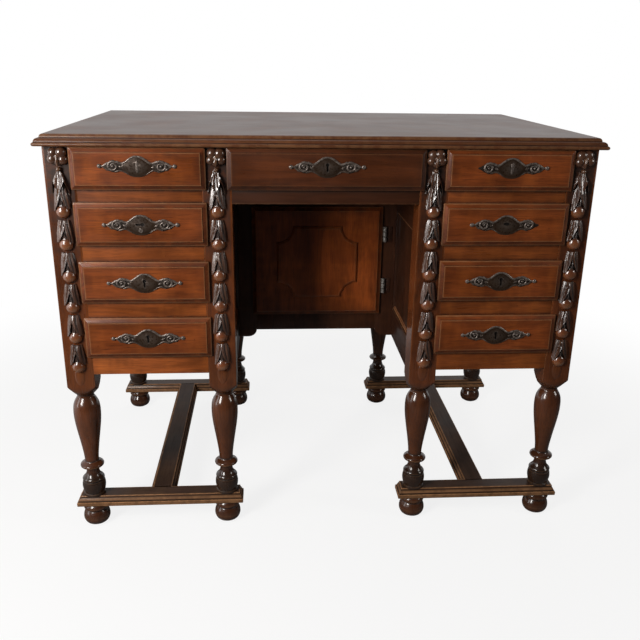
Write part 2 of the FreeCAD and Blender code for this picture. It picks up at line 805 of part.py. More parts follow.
def make_door():
    block_low = s.lip_overlap + s.door_gap
    leaf = lipped_front("door_pattern", door_half * 2, door_height, (opening_half - s.door_gap) * 2,
                        (block_low, door_height - block_low), s.door_block)
    y = cupboard_front - s.closing_gap
    node(placed("door_leaf", leaf, ZERO, y, door_bottom))

    half_x = (door_half - s.lip_slope) * DOOR_PANEL_SHARES[0]
    half_z = (door_height / 2 - s.lip_slope) * DOOR_PANEL_SHARES[1]
    notch = s.door_panel_notch
    step = s.door_panel_step
    bend = notch * NOTCH_MIDDLE_SHARE
    corner = [(half_x, half_z - notch), (half_x - step, half_z - notch), (half_x - bend, half_z - bend),
              (half_x - notch, half_z - step), (half_x - notch, half_z)]
    steps = []
    for sign_x, sign_z in ((1, 1), (-1, 1), (-1, -1), (1, -1)):
        turn = corner if sign_x * sign_z > 0 else corner[::-1]
        points = [(x * sign_x, z * sign_z) for x, z in turn]
        steps += [[points[0]], [points[1]], points[2:4], [points[4]]]
    start = steps[-1][-1]
    panel = sawn("door_panel_pattern", start, steps, s.door_panel_thickness)
    node(placed("door_panel", panel, ZERO, y - s.lip_edge - s.lip_rise, door_bottom + door_height / 2))


def make_hinges():
    """Made about the pin, with the frame's face at y = one knuckle radius behind it."""
    knuckle = s.hinge_knuckle_diameter / 2
    pin = s.hinge_pin_diameter / 2
    tall = s.hinge_height
    end = tall * KNUCKLE_SHARE
    clear = knuckle + s.hinge_gap
    leaf_y = (knuckle - s.hinge_leaf, knuckle)
    spans = (("low", (ZERO, end)), ("high", (tall - end, tall)))
    fixed = [box("hinge_fixed_leaf", (clear, s.hinge_leaf_width), leaf_y, (ZERO, tall))]
    for name, z in spans:
        fixed.append(box("hinge_fixed_strap_" + name, (ZERO, clear), leaf_y, z))
        fixed.append(cylinder("hinge_fixed_knuckle_" + name, ZERO, ZERO, z, knuckle))
    bore = cylinder("hinge_bore", ZERO, ZERO, (-s.overrun, tall + s.overrun), pin + s.hinge_gap / 2)
    fixed_pattern = cut("hinge_fixed_pattern", fused("hinge_fixed_blank", fixed), bore)

    middle = (end + s.hinge_gap, tall - end - s.hinge_gap)
    bridge = knuckle * HINGE_BRIDGE_SHARE
    plate_y = (knuckle - s.closing_gap - s.lip_edge, knuckle - s.closing_gap)
    moving_pattern = fused("hinge_moving_pattern", [
        cylinder("hinge_moving_knuckle", ZERO, ZERO, middle, knuckle),
        cylinder("hinge_pin", ZERO, ZERO, (ZERO, tall), pin),
        box("hinge_moving_bridge", (-clear - s.hinge_leaf, ZERO), (-bridge, bridge), middle),
        box("hinge_moving_leaf", (-clear - s.hinge_leaf, -clear), plate_y, (ZERO, tall)),
    ])
    axis_x = door_half + s.hinge_leaf + clear
    axis_y = cupboard_front - knuckle
    for name, pattern in (("cupboard_hinge_leaves", fixed_pattern), ("door_hinge_leaves", moving_pattern)):
        hinges = [placed(f"{name}_{number}", pattern, axis_x, axis_y, door_bottom + door_height * share)
                  for number, share in enumerate(HINGE_PLACE_SHARES, start=1)]
        node(group(name, hinges))


make_top()
make_legs()
make_feet()
make_stretchers()
make_garlands()
make_front_rails()
make_sides()
make_boards()
make_runners()
make_drawers()
make_cupboard_frame()
make_door()
make_hinges()
document.recompute()

# Nothing is written unless every object is sound
for item in document.Objects:
    if "Invalid" in item.State or "Error" in item.State:
        raise RuntimeError(f"{item.Name} did not build: {item.State}")
for piece in nodes:
    if piece.Shape.isNull() or not piece.Shape.isValid() or not piece.Shape.Solids:
        raise RuntimeError(f"{piece.Label} is not a valid solid")

os.makedirs("parts", exist_ok=True)
for piece in nodes:
    piece.Shape.exportStep(f"parts/{piece.Label}.step")
print(len(nodes), "sub-parts written")
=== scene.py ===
import math

import bmesh
import bpy
import numpy as np
from mathutils import Matrix, Vector


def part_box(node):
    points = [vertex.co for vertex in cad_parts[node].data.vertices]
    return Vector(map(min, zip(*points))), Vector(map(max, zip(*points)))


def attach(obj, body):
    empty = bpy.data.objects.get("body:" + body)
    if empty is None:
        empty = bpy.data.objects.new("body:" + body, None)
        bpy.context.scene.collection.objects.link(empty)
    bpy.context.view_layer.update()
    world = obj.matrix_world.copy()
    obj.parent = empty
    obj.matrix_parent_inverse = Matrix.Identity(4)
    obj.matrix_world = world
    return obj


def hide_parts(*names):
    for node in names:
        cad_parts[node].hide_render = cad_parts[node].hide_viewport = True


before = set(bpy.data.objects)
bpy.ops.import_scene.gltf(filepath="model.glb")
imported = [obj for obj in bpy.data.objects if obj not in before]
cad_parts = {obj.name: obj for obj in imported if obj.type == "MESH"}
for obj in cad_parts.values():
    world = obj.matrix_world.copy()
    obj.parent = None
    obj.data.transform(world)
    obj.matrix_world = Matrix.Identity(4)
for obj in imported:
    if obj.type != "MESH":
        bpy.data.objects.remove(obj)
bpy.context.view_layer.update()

bl_info = {
    "name": "Kneehole desk",
    "version": (1, 0, 0),
    "blender": (4, 5, 0),
    "location": "View3D > Sidebar > Desk",
    "description": "Turned, carved, moulded and cast pieces of a kneehole writing desk",
    "category": "Object",
}

MM = 0.001
HANDS = ("left", "right")
DRAWERS = ["centre_drawer"] + [f"{hand}_drawer_{row}" for hand in HANDS for row in range(1, 5)]
CORNERS = [f"{hand}_{place}_{end}" for hand in HANDS for place in ("outer", "inner")
           for end in ("front", "rear")]
CARCASE = "carcase"
DOOR = "cupboard_door"


# Sizes and colours that a user may change

def length(name, description, millimetres):
    return bpy.props.FloatProperty(name=name, description=description, default=millimetres * MM,
                                   min=0.0, unit="LENGTH", precision=4)


def colour(name, description, red, green, blue):
    """A colour given as it looks on a screen, from 0 to 255."""
    linear = [channel / 255 / 12.92 if channel <= 10 else ((channel / 255 + 0.055) / 1.055) ** 2.4
              for channel in (red, green, blue)]
    return bpy.props.FloatVectorProperty(name=name, description=description, default=linear,
                                         min=0.0, max=1.0, size=3, subtype="COLOR")


class DeskSizes(bpy.types.PropertyGroup):
    arris: length("Arris", "Rounding of the edges of the sides' boards", 0.8)
    post_arris: length("Post arris", "Rounding of the edges of the posts", 0.9)
    bead: length("Bead", "Width of the bead round a framed panel", 7.0)
    berry: length("Berry", "Radius of a carved berry", 12.4)
    husk: length("Husk", "Length of a carved husk above its berry", 44.0)
    petal: length("Petal", "Radius of a petal of the rosettes", 8.2)
    screw: length("Screw", "Radius of the hinge screws' heads", 2.0)
    plank: length("Plank", "Width of the planks of the back", 86.0)
    round_steps: bpy.props.IntProperty(name="Round steps", description="Facets round a turned leg",
                                       default=64, min=16, max=128)


class DeskColours(bpy.types.PropertyGroup):
    front: colour("Fronts", "Wood of the drawer fronts", 130, 64, 28)
    case: colour("Case", "Wood of the sides", 132, 68, 30)
    top: colour("Top", "Wood of the table top", 92, 52, 32)
    post: colour("Post", "Wood of the posts", 116, 60, 29)
    rail: colour("Rail", "Wood of the rails between the drawers", 146, 76, 34)
    turned: colour("Turned", "Stained wood of the turned legs, stretchers and feet", 48, 32, 23)
    carved: colour("Carved", "Wood of the garlands", 82, 51, 37)
    door: colour("Door", "Wood of the cupboard door", 138, 66, 24)
    # Painted shade, partly the wood's own tone: a darker wood for the kneehole and for the darkened centre
    # drawer and rails
    shaded: colour("Shaded", "Darker wood inside the kneehole", 64, 35, 21)
    inner: colour("Inner", "Plain wood inside the case", 150, 112, 74)
    # Also paints the highlights on the beads and the stretcher mouldings
    worn_and_highlit: colour("Worn", "Wood where the finish is rubbed away", 176, 128, 88)
    # Also paints shade under the lips, along the rails, in the garlands' clefts and in the keyholes
    grime: colour("Grime", "Old wax and dust in the corners", 26, 16, 11)
    bronze: colour("Bronze", "Darkened cast plates", 59, 43, 31)
    iron: colour("Iron", "Rubbed iron of the hinges", 58, 46, 38)


class DeskStage(bpy.types.PropertyGroup):
    key: bpy.props.FloatProperty(name="Key", description="Power of the large lamp on the left",
                                 default=32.0, min=0.0)
    fill: bpy.props.FloatProperty(name="Fill", description="Power of the lamp on the right",
                                  default=5.0, min=0.0)
    sky: bpy.props.FloatProperty(name="Sky", description="Light from all round", default=0.07, min=0.0)
    floor: colour("Floor", "Pale studio floor", 244, 243, 241)


def sizes():
    return bpy.context.scene.desk_sizes


def tints():
    return bpy.context.scene.desk_colours


# Mesh making, in millimetres

class Shape:
    """Points in millimetres with their faces, and how worn, dirty and stained each point is; the same marks
    also paint highlights and shade.
    """

    def __init__(self):
        self.points = []
        self.faces = []
        self.marks = {"wear": [], "grime": [], "stain": []}

    def add(self, points, faces, **marks):
        start = len(self.points)
        points = np.asarray(points, float).reshape(-1, 3)
        self.points.extend(points.tolist())
        self.faces.extend([tuple(start + corner for corner in face) for face in faces])
        for name, values in self.marks.items():
            given = np.broadcast_to(np.asarray(marks.get(name, 0.0), float), (len(points),))
            values.extend(given.tolist())

    def loft(self, rings, ends="cap", **marks):
        """Skins a row of closed rings. ends is cap, or join for last ring to first."""
        rings = np.asarray(rings, float)
        rows, count = rings.shape[:2]
        faces = []
        for row in range(rows if ends == "join" else rows - 1):
            here, there = row * count, (row + 1) % rows * count
            for step in range(count):
                after = (step + 1) % count
                faces.append((here + step, here + after, there + after, there + step))
        if ends == "cap":
            faces.append(tuple(range(count))[::-1])
            faces.append(tuple((rows - 1) * count + step for step in range(count)))
        spread = {}
        for name, values in marks.items():
            values = np.asarray(values, float)
            if values.ndim == 1 and len(values) == rows:
                values = np.repeat(values, count)
            spread[name] = values.reshape(-1) if values.ndim else values
        self.add(rings.reshape(-1, 3), faces, **spread)

    def take(self, other, move):
        """Adds a copy of another shape, with its points passed through move."""
        marks = {name: np.array(values) for name, values in other.marks.items()}
        self.add(move(np.array(other.points)), other.faces, **marks)


def span(node):
    """Lowest and highest corner of a CAD node, in millimetres."""
    low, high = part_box(node)
    return np.array(low) / MM, np.array(high) / MM


def make_mesh(shape, name, material, sharp=38):
    mesh = bpy.data.meshes.new(name)
    mesh.from_pydata((np.array(shape.points) * MM).tolist(), [], shape.faces)
    for mark, values in shape.marks.items():
        if any(values):
            mesh.attributes.new(mark, "FLOAT", "POINT").data.foreach_set("value", values)
    work = bmesh.new()
    work.from_mesh(mesh)
    bmesh.ops.remove_doubles(work, verts=work.verts, dist=1e-7)
    bmesh.ops.dissolve_degenerate(work, edges=work.edges, dist=1e-7)
    bmesh.ops.recalc_face_normals(work, faces=work.faces)
    work.to_mesh(mesh)
    work.free()
    mesh.materials.append(material)
    mesh.polygons.foreach_set("use_smooth", [True] * len(mesh.polygons))
    mesh.set_sharp_from_angle(angle=math.radians(sharp))
    return mesh


def add_piece(mesh, name, body, nodes):
    piece = bpy.data.objects.new(name, mesh)
    bpy.context.scene.collection.objects.link(piece)
    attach(piece, body)
    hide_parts(*nodes)
    return piece


def piece_of(shape, name, material, body, nodes, sharp=38):
    if not shape.points:
        raise RuntimeError(name + " has no points")
    return add_piece(make_mesh(shape, name, material, sharp), name, body, nodes)


def repeat(shape, name, places, material, sharp=38):
    """Sets a copy of a shape on every place with Geometry Nodes, and gives back one plain mesh."""
    pattern = bpy.data.objects.new(name + "_pattern", make_mesh(shape, name + "_pattern", material, sharp))
    points = bpy.data.meshes.new(name + "_places")
    points.from_pydata((np.asarray(places) * MM).tolist(), [], [])
    carrier = bpy.data.objects.new(name + "_carrier", points)
    for item in (pattern, carrier):
        bpy.context.scene.collection.objects.link(item)
    tree = bpy.data.node_groups.new(name + "_repeat", "GeometryNodeTree")
    tree.interface.new_socket("Places", in_out="INPUT", socket_type="NodeSocketGeometry")
    wanted = {"Pattern": ("NodeSocketObject", pattern), "Finish": ("NodeSocketMaterial", material),
              "Size": ("NodeSocketFloat", 1.0)}
    keys = {label: tree.interface.new_socket(label, in_out="INPUT", socket_type=kind).identifier
            for label, (kind, value) in wanted.items()}
    tree.interface.new_socket("Pieces", in_out="OUTPUT", socket_type="NodeSocketGeometry")
    kinds = {"entry": "NodeGroupInput", "leaving": "NodeGroupOutput", "info": "GeometryNodeObjectInfo",
             "put": "GeometryNodeInstanceOnPoints", "solid": "GeometryNodeRealizeInstances",
             "coat": "GeometryNodeSetMaterial"}
    step = {label: tree.nodes.new(kind) for label, kind in kinds.items()}
    for start, leaves, end, enters in (
            ("entry", "Places", "put", "Points"), ("entry", "Pattern", "info", "Object"),
            ("info", "Geometry", "put", "Instance"), ("entry", "Size", "put", "Scale"),
            ("put", "Instances", "solid", "Geometry"), ("solid", "Geometry", "coat", "Geometry"),
            ("entry", "Finish", "coat", "Material"), ("coat", "Geometry", "leaving", "Pieces")):
        tree.links.new(step[start].outputs[leaves], step[end].inputs[enters])
    modifier = carrier.modifiers.new("repeat", "NODES")
    modifier.node_group = tree
    for label, (kind, value) in wanted.items():
        modifier[keys[label]] = value
    bpy.context.view_layer.update()
    ready = carrier.evaluated_get(bpy.context.evaluated_depsgraph_get())
    mesh = bpy.data.meshes.new_from_object(ready)
    mesh.name = name
    bpy.data.objects.remove(carrier)
    bpy.data.objects.remove(pattern)
    bpy.data.node_groups.remove(tree)
    if not mesh.polygons:
        raise RuntimeError(name + " came out empty")
    return mesh


def smooth_line(points, steps=6):
    """A smooth line through the points, with a few steps between each pair."""
    points = np.asarray(points, float)
    padded = np.vstack([2 * points[0] - points[1], points, 2 * points[-1] - points[-2]])
    line = []
    for index in range(1, len(padded) - 2):
        a, b, c, d = padded[index - 1:index + 3]
        for t in np.linspace(0, 1, steps, endpoint=False):
            line.append(0.5 * (2 * b + (c - a) * t + (2 * a - 5 * b + 4 * c - d) * t * t
                               + (3 * b - a - 3 * c + d) * t ** 3))
    line.append(points[-1])
    return np.array(line)


def outline(u, v, radius, steps=3):
    """A rectangle with rounded corners as points (u, v), and 1 on the middles of its corners."""
    radius = max(min(radius, (u[1] - u[0]) / 2.01, (v[1] - v[0]) / 2.01), 0.02)
    points, middles = [], []
    corners = ((u[1], v[1], 0), (u[0], v[1], 90), (u[0], v[0], 180), (u[1], v[0], 270))
    for at_u, at_v, start in corners:
        turn = np.radians(start + np.linspace(0, 90, steps + 1))
        centre_u = at_u - math.copysign(radius, math.cos(math.radians(start + 45)))
        centre_v = at_v - math.copysign(radius, math.sin(math.radians(start + 45)))
        for step, angle in enumerate(turn):
            points.append((centre_u + radius * math.cos(angle), centre_v + radius * math.sin(angle)))
            middles.append(1.0 if 0 < step < steps else 0.0)
    return np.array(points), np.array(middles)


def level_ring(low, high, inset, height, radius):
    """A level ring inside the rectangle from low to high."""
    points, middles = outline((low[0] + inset, high[0] - inset), (low[1] + inset, high[1] - inset), radius)
    return np.column_stack([points, np.full(len(points), height)])


def facing_ring(line, depth):
    """A line of points (x, z) as a ring that faces the front, at a depth on y."""
    return np.column_stack([line[:, 0], np.full(len(line), depth), line[:, 1]])


def marks_of_rows(rows):
    """The marks of a moulding whose rows end in wear and grime, which also paint highlights and shade."""
    return {"wear": [row[-2] for row in rows], "grime": [row[-1] for row in rows]}


def middle_of(node):
    """Middle of a CAD node seen from above, in millimetres."""
    low, high = span(node)
    return (low[0] + high[0]) / 2, (low[1] + high[1]) / 2


def board(shape, low, high, arris, worn_and_highlit=0.8, dirt_and_shade=0.0):
    """A plain board with its edges eased, worn or dirty along them."""
    low, high = np.minimum(low, high), np.maximum(low, high)
    along = int(np.argmax(high - low))
    across = [axis for axis in range(3) if axis != along]
    rings, wear = [], []
    eased = 1 - math.cos(math.pi / 4)
    stations = ((low[along], arris, 0.0), (low[along] + arris * eased, arris * eased, 1.0),
                (low[along] + arris, 0.0, 0.0), (high[along] - arris, 0.0, 0.0),
                (high[along] - arris * eased, arris * eased, 1.0), (high[along], arris, 0.0))
    for place, inset, edge in stations:
        limits = [(low[axis] + inset, high[axis] - inset) for axis in across]
        points, middles = outline(*limits, arris)
        ring = np.zeros((len(points), 3))
        ring[:, along] = place
        ring[:, across] = points
        rings.append(ring)
        wear.append(np.maximum(middles, edge))
    edges = np.array(wear)
    shape.loft(rings, wear=edges * worn_and_highlit, grime=edges * dirt_and_shade)


def turn(shape, profile, centre, steps, **marks):
    """A turned piece: profile is rows of (radius, height)."""
    angles = np.linspace(0, 2 * math.pi, steps, endpoint=False)
    rings = [np.column_stack([centre[0] + radius * np.cos(angles), centre[1] + radius * np.sin(angles),
                              np.full(steps, centre[2] + height)]) for radius, height in profile]
    shape.loft(rings, **marks)


def tube(shape, path, radii, steps=8, rise=1.0, **marks):
    """A bar of changing thickness along a path; rise is its height over its width."""
    path = np.asarray(path, float)
    radii = np.broadcast_to(radii, (len(path),))
    along = np.gradient(path, axis=0)
    along /= np.linalg.norm(along, axis=1)[:, None]
    angles = np.linspace(0, 2 * math.pi, steps, endpoint=False)
    rings = []
    for point, way, radius in zip(path, along, radii):
        side = np.cross(way, (0.0, 1.0, 0.0))
        if np.linalg.norm(side) < 1e-6:
            side = np.array([1.0, 0.0, 0.0])
        side /= np.linalg.norm(side)
        lift = np.cross(side, way)
        section = np.outer(np.cos(angles), side) + np.outer(np.sin(angles), lift) * rise
        rings.append(point + radius * section)
    shape.loft(rings, **marks)


def ball(shape, centre, radii, steps=16, **marks):
    """An egg or ball about a centre, its poles up and down."""
    radii = np.broadcast_to(radii, (3,))
    rise = np.linspace(-math.pi / 2, math.pi / 2, steps // 2 + 1)
    angles = np.linspace(0, 2 * math.pi, steps, endpoint=False)
    rings = []
    for angle in np.clip(rise, -math.pi / 2 + 0.02, math.pi / 2 - 0.02):
        rings.append(np.array(centre) + np.column_stack([
            radii[0] * math.cos(angle) * np.cos(angles), radii[1] * math.cos(angle) * np.sin(angles),
            np.full(steps, radii[2] * math.sin(angle))]))
    shape.loft(rings, **marks)


# Materials

class Nodes:
    """A material under construction."""

    def __init__(self, name):
        self.material = bpy.data.materials.new(name)
        self.material.use_nodes = True
        self.tree = self.material.node_tree
        self.shader = self.tree.nodes["Principled BSDF"]

    def new(self, kind, settings=None, **values):
        node = self.tree.nodes.new("ShaderNode" + kind)
        for name, value in (settings or {}).items():
            setattr(node, name, value)
        for name, value in values.items():
            self.put(node.inputs[name.replace("_", " ")], value)
        return node

    def put(self, socket, value):
        if isinstance(value, bpy.types.NodeSocket):
            self.tree.links.new(value, socket)
        elif isinstance(value, bpy.types.Node):
            self.tree.links.new(value.outputs[0], socket)
        else:
            socket.default_value = value

    def math(self, operation, first, second):
        node = self.new("Math", {"operation": operation})
        for socket, value in zip(node.inputs, (first, second)):
            self.put(socket, value)
        return node.outputs[0]

    def mix(self, share, first, second, blend="MIX"):
        node = self.new("Mix", {"data_type": "RGBA", "blend_type": blend})
        for name, value in (("Factor_Float", share), ("A_Color", first), ("B_Color", second)):
            socket = next(item for item in node.inputs if item.identifier == name)
            self.put(socket, value)
        return next(item for item in node.outputs if item.identifier == "Result_Color")

    def ramp(self, value, low, high, start=0.0, end=1.0):
        node = self.new("MapRange", {"interpolation_type": "SMOOTHSTEP"}, Value=value)
        for name, number in (("From Min", low), ("From Max", high), ("To Min", start), ("To Max", end)):
            node.inputs[name].default_value = number
        return node.outputs[0]

    def noise(self, place, scale, detail=3.0, roughness=0.55, distortion=0.0):
        return self.new("TexNoise", None, Vector=place, Scale=scale, Detail=detail,
                        Roughness=roughness, Distortion=distortion).outputs[0]

    def place(self, scale=(1, 1, 1), shift=(0, 0, 0)):
        node = self.new("Mapping", None, Vector=self.new("TexCoord").outputs["Object"])
        node.inputs["Scale"].default_value = scale
        node.inputs["Location"].default_value = shift
        return node.outputs[0]

    def mark(self, name):
        return self.new("Attribute", {"attribute_name": name}).outputs["Fac"]

    def bump(self, height, strength, distance, below=None):
        node = self.new("Bump", None, Height=height, Strength=strength, Distance=distance)
        if below is not None:
            self.put(node.inputs["Normal"], below)
        return node.outputs["Normal"]

    def shade(self, **values):
        for name, value in values.items():
            self.put(self.shader.inputs[name.replace("_", " ")], value)
        return self.material


def four(tint, share=1.0):
    return tuple(channel * share for channel in tint) + (1.0,)


FINISHES = {}
# Scale of a pattern along the grain, against 1 across it
GRAIN_ALONG = 0.16
RIPPLE_ALONG, RIPPLE_ACROSS = 0.5, 0.16
# How far each new finish moves its pattern, in metres
PATTERN_SHIFT = (0.37, 0.91, 0.53)
# Patterns of the wood, in repeats per metre
PATCHES, WAVES, FIGURE, DENTS = 6.5, 16.0, 34.0, 38.0
RIPPLE, SCUFFS, FIBRES, PORES = 42.0, 70.0, 420.0, 900.0
# Worn places paler than this show through almost everywhere
PALE_RUB = 0.7


def wood(name, tint, grain, gloss=0.3, coat=0.35, figure=1.0, stain=None, shine=0.24, mottle=1.0,
         rub_and_highlight=0.55, blur=0.12, sleek=0.0):
    """Polished wood with its grain along one axis: figure, fibres, pores, patches, wear and grime; wear also
    paints highlights and grime also paints shade.

    The stain colour serves stained places and painted shade, and sleek is how much smoother they are.
    The rub share is how pale worn places and painted highlights get.
    """
    if name in FINISHES:
        return FINISHES[name]
    made = Nodes(name)
    shift = [share * len(FINISHES) for share in PATTERN_SHIFT]
    grime = four(tints().grime)

    def along(with_grain, across):
        return made.place([with_grain if axis == grain else across for axis in "xyz"], shift)

    even_place = along(1.0, 1.0)
    hair_place = along(GRAIN_ALONG * 0.25, 1.0)
    bands = made.noise(along(GRAIN_ALONG, 1.0), FIGURE, 4.0, 0.6, 1.6)
    ripple = made.noise(along(RIPPLE_ALONG, RIPPLE_ACROSS), RIPPLE, 3.0, 0.6)
    fibres = made.noise(hair_place, FIBRES, 3.0, 0.6)
    pores = made.noise(hair_place, PORES, 2.0, 0.5)
    patches = made.noise(even_place, PATCHES, 3.0, 0.6)
    scuffs = made.noise(even_place, SCUFFS, 4.0, 0.65)
    waves = made.noise(even_place, WAVES, 2.0, 0.5)
    dents = made.new("TexVoronoi", {"distance": "EUCLIDEAN"}, Vector=even_place, Scale=DENTS)
    dent = made.ramp(dents.outputs["Distance"], 0.02, 0.05, 0.7, 0.0)
    # Colour
    streak = made.ramp(bands, 0.30, 0.72)
    base = made.mix(streak, four(tint, 1.0 - 0.34 * figure), four(tint, 1.0 + 0.22 * figure))
    golden = (tint[0] * 1.55, tint[1] * 1.7, tint[2] * 1.4, 1.0)
    base = made.mix(made.ramp(ripple, 0.42, 0.72, 0.0, 0.55 * figure), base, golden)
    base = made.mix(made.ramp(fibres, 0.38, 0.70, 0.0, 0.36), base, four(tint, 0.52))
    base = made.mix(made.ramp(pores, 0.56, 0.68, 0.0, 0.38), base, grime)
    base = made.mix(dent, base, grime)
    shade = made.ramp(patches, 0.28, 0.72, 1.0 - 0.30 * mottle, 1.0 + 0.16 * mottle)
    grey = made.new("CombineColor", None, Red=shade, Green=shade, Blue=shade)
    base = made.mix(1.0, base, grey.outputs[0], "MULTIPLY")
    if stain is not None:
        stained = made.mix(streak, four(stain, 0.72), four(stain, 1.2))
        base = made.mix(made.mark("stain"), base, stained)
    least = 0.15 if rub_and_highlight < PALE_RUB else 0.5
    rubbed_and_highlit = made.math("MULTIPLY", made.mark("wear"), made.ramp(scuffs, 0.36, 0.62, least, 0.9))
    base = made.mix(rubbed_and_highlit, base, four(tints().worn_and_highlit, rub_and_highlight))
    dirt_and_shade = made.math("MULTIPLY", made.mark("grime"), made.ramp(scuffs, 0.30, 0.60, 0.55, 1.0))
    base = made.mix(dirt_and_shade, base, grime)
    # Polish
    rough = made.ramp(patches, 0.25, 0.75, gloss - 0.07 * mottle, gloss + 0.10 * mottle)
    rough = made.math("ADD", rough, made.ramp(fibres, 0.4, 0.8, 0.0, 0.10 * mottle))
    rough = made.math("ADD", rough, made.math("MULTIPLY", dirt_and_shade, 0.35))
    if sleek:
        rough = made.math("ADD", rough, made.math("MULTIPLY", made.mark("stain"), -sleek))
    # Relief too fine for the mesh
    surface = made.bump(waves, 0.25 * mottle, 0.0012)
    pitted = made.math("SUBTRACT", fibres, made.math("MULTIPLY", pores, 0.6))
    surface = made.bump(pitted, 0.16, 0.0003, surface)
    surface = made.bump(scuffs, 0.05, 0.0004, surface)
    surface = made.bump(dent, -0.2, 0.0006, surface)
    FINISHES[name] = made.shade(Base_Color=base, Roughness=rough, Normal=surface, Coat_Weight=coat,
                                Coat_Roughness=blur, Specular_IOR_Level=shine)
    return FINISHES[name]


# Dark patina in the hollows, and painted shade inside the keyholes
METAL_DIRT_AND_SHADE = (0.008, 0.006, 0.005, 1.0)


def metal(name, tint, bright, gloss, rubbing_and_highlight):
    """Old cast metal: dark in the hollows, rubbed bright on the high places; the rubbed colour also paints
    highlights and the dark one paints shade inside keyholes.
    """
    if name in FINISHES:
        return FINISHES[name]
    made = Nodes(name)
    place = made.place()
    spots = made.noise(place, 260.0, 4.0, 0.62)
    cloud = made.noise(place, 45.0, 3.0, 0.55)
    body = made.mix(made.ramp(cloud, 0.3, 0.7), four(tint, 0.7), four(tint, 1.2))
    rubbed_and_highlit = made.math("MULTIPLY", made.mark("wear"), made.ramp(spots, 0.34, 0.60, 0.35, 1.0))
    body = made.mix(made.math("MULTIPLY", rubbed_and_highlit, rubbing_and_highlight), body, four(bright))
    dirt_and_shade = made.math("MULTIPLY", made.mark("grime"), made.ramp(spots, 0.30, 0.62, 0.7, 1.0))
    body = made.mix(dirt_and_shade, body, METAL_DIRT_AND_SHADE)
    rough = made.math("ADD", made.ramp(spots, 0.3, 0.7, gloss - 0.06, gloss + 0.14),
                      made.math("MULTIPLY", dirt_and_shade, 0.4))
    surface = made.bump(spots, 0.22, 0.0004)
    FINISHES[name] = made.shade(Base_Color=body, Roughness=rough, Normal=surface, Metallic=0.45)
    return FINISHES[name]


def front_wood():
    return wood("polished_front_wood", tints().front, "x", 0.30, 0.18, stain=tints().shaded, rub_and_highlight=0.75)


def rail_wood():
    return wood("polished_rail_wood", tints().rail, "x", 0.32, 0.18, stain=tints().shaded)


def post_wood():
    return wood("polished_post_wood", tints().post, "z", 0.16, 0.5, 0.8, stain=tints().turned, shine=0.4,
                blur=0.09)


def stretcher_wood(grain):
    coat, shine, share = (0.03, 0.06, 1.6) if grain == "y" else (0.08, 0.13, 2.1)
    # Worn mouldings rub pale, partly real wear and partly a painted highlight on their edges
    return wood("stained_stretcher_wood_" + grain, four(tints().turned, share)[:3], grain, 0.34, coat, 0.7,
                shine=shine, rub_and_highlight=0.95)


def inner_wood(grain):
    return wood("plain_inner_wood_" + grain, tints().inner, grain, 0.62, 0.0, 0.55)


# Table top

def top_profile():
    """Inset, height below the top face, wear and grime, from the underside to the writing surface."""
    rows = [(34.0, 20.0, 0, 0), (3.6, 20.0, 0, 0.3)]

    def bend(inset, depth, wide, tall, first, last, steps, worn_and_highlit):
        for angle in np.radians(np.linspace(first, last, steps)):
            rows.append((inset - wide * math.cos(angle), depth - tall * math.sin(angle), worn_and_highlit, 0))

    bend(3.2, 16.8, 3.2, 3.2, -90, 70, 9, 0.45)
    rows.extend([(3.0, 13.3, 0, 1.0), (3.3, 12.7, 0, 0.8)])
    bend(10.6, 12.4, 7.2, 6.0, 8, 90, 8, 0.2)
    rows.extend([(11.3, 6.5, 0, 0.9), (11.6, 5.9, 0, 0.8)])
    bend(17.2, 5.5, 5.5, 5.5, 6, 90, 7, 0.5)
    rows.extend([(18.6, 0.0, 0.1, 0), (40.0, 0.0, 0, 0)])
    return rows


class DESK_OT_table_top(bpy.types.Operator):
    """Moulded table top"""
    bl_idname = "desk.table_top"
    bl_label = "Table top"

    def execute(self, context):
        low, high = span("top_board")
        shape = Shape()
        rows = top_profile()
        rings = [level_ring(low, high, inset, high[2] - depth, max(3.0 - inset * 0.2, 0.3))
                 for inset, depth, worn_and_highlit, dirty_and_shaded in rows]
        shape.loft(rings, **marks_of_rows(rows))
        finish = wood("polished_top_wood", tints().top, "x", 0.3, 0.03, 0.8, shine=0.15, mottle=0.4)
        piece_of(shape, "table_top", finish, CARCASE, ["top_board"], 30)
        return {"FINISHED"}


# Posts with turned legs, feet and stretchers

# Radius and height of the turned leg, one row for each run between sharp edges
LEG_PROFILE = [
    [(20.9, 67.0), (21.0, 71.6)],
    [(19.9, 72.6), (21.6, 78.5), (22.7, 85.5), (22.5, 91.5), (21.3, 97.6)],
    [(20.1, 98.4), (20.0, 100.0)],
    [(20.9, 101.0), (21.4, 102.6), (20.4, 105.0), (16.4, 109.2), (13.4, 114.5), (12.1, 121.0),
     (12.0, 129.0)],
    [(19.4, 129.6), (21.8, 130.8), (22.8, 133.2), (22.0, 135.8), (18.6, 138.4), (15.0, 140.4),
     (13.5, 142.0)],
    [(13.2, 143.2), (14.6, 160.0), (17.9, 184.0), (21.2, 205.0), (23.7, 222.0), (25.2, 236.0),
     (25.7, 247.0), (25.5, 257.0), (24.3, 266.5), (21.7, 274.0), (18.4, 280.0), (16.3, 283.4),
     (15.5, 288.0)],
]
# Heights of the leg's worn edges and dirty hollows, with how much
LEG_SHARP = ((71.6, 0.5), (97.6, 0.5), (102.6, 0.3), (130.8, 0.8), (133.2, 0.9))
LEG_GRIME = ((67.0, 1.0), (72.6, 0.9), (98.4, 1.0), (100.0, 0.8), (129.0, 0.9), (142.0, 0.9),
             (143.2, 0.8), (288.0, 0.7))
# Share of the dark stain on the legs: heights, then shares
LEG_STAIN = ((105.0, 150.0, 250.0, 288.0), (1.0, 0.56, 0.50, 0.75))
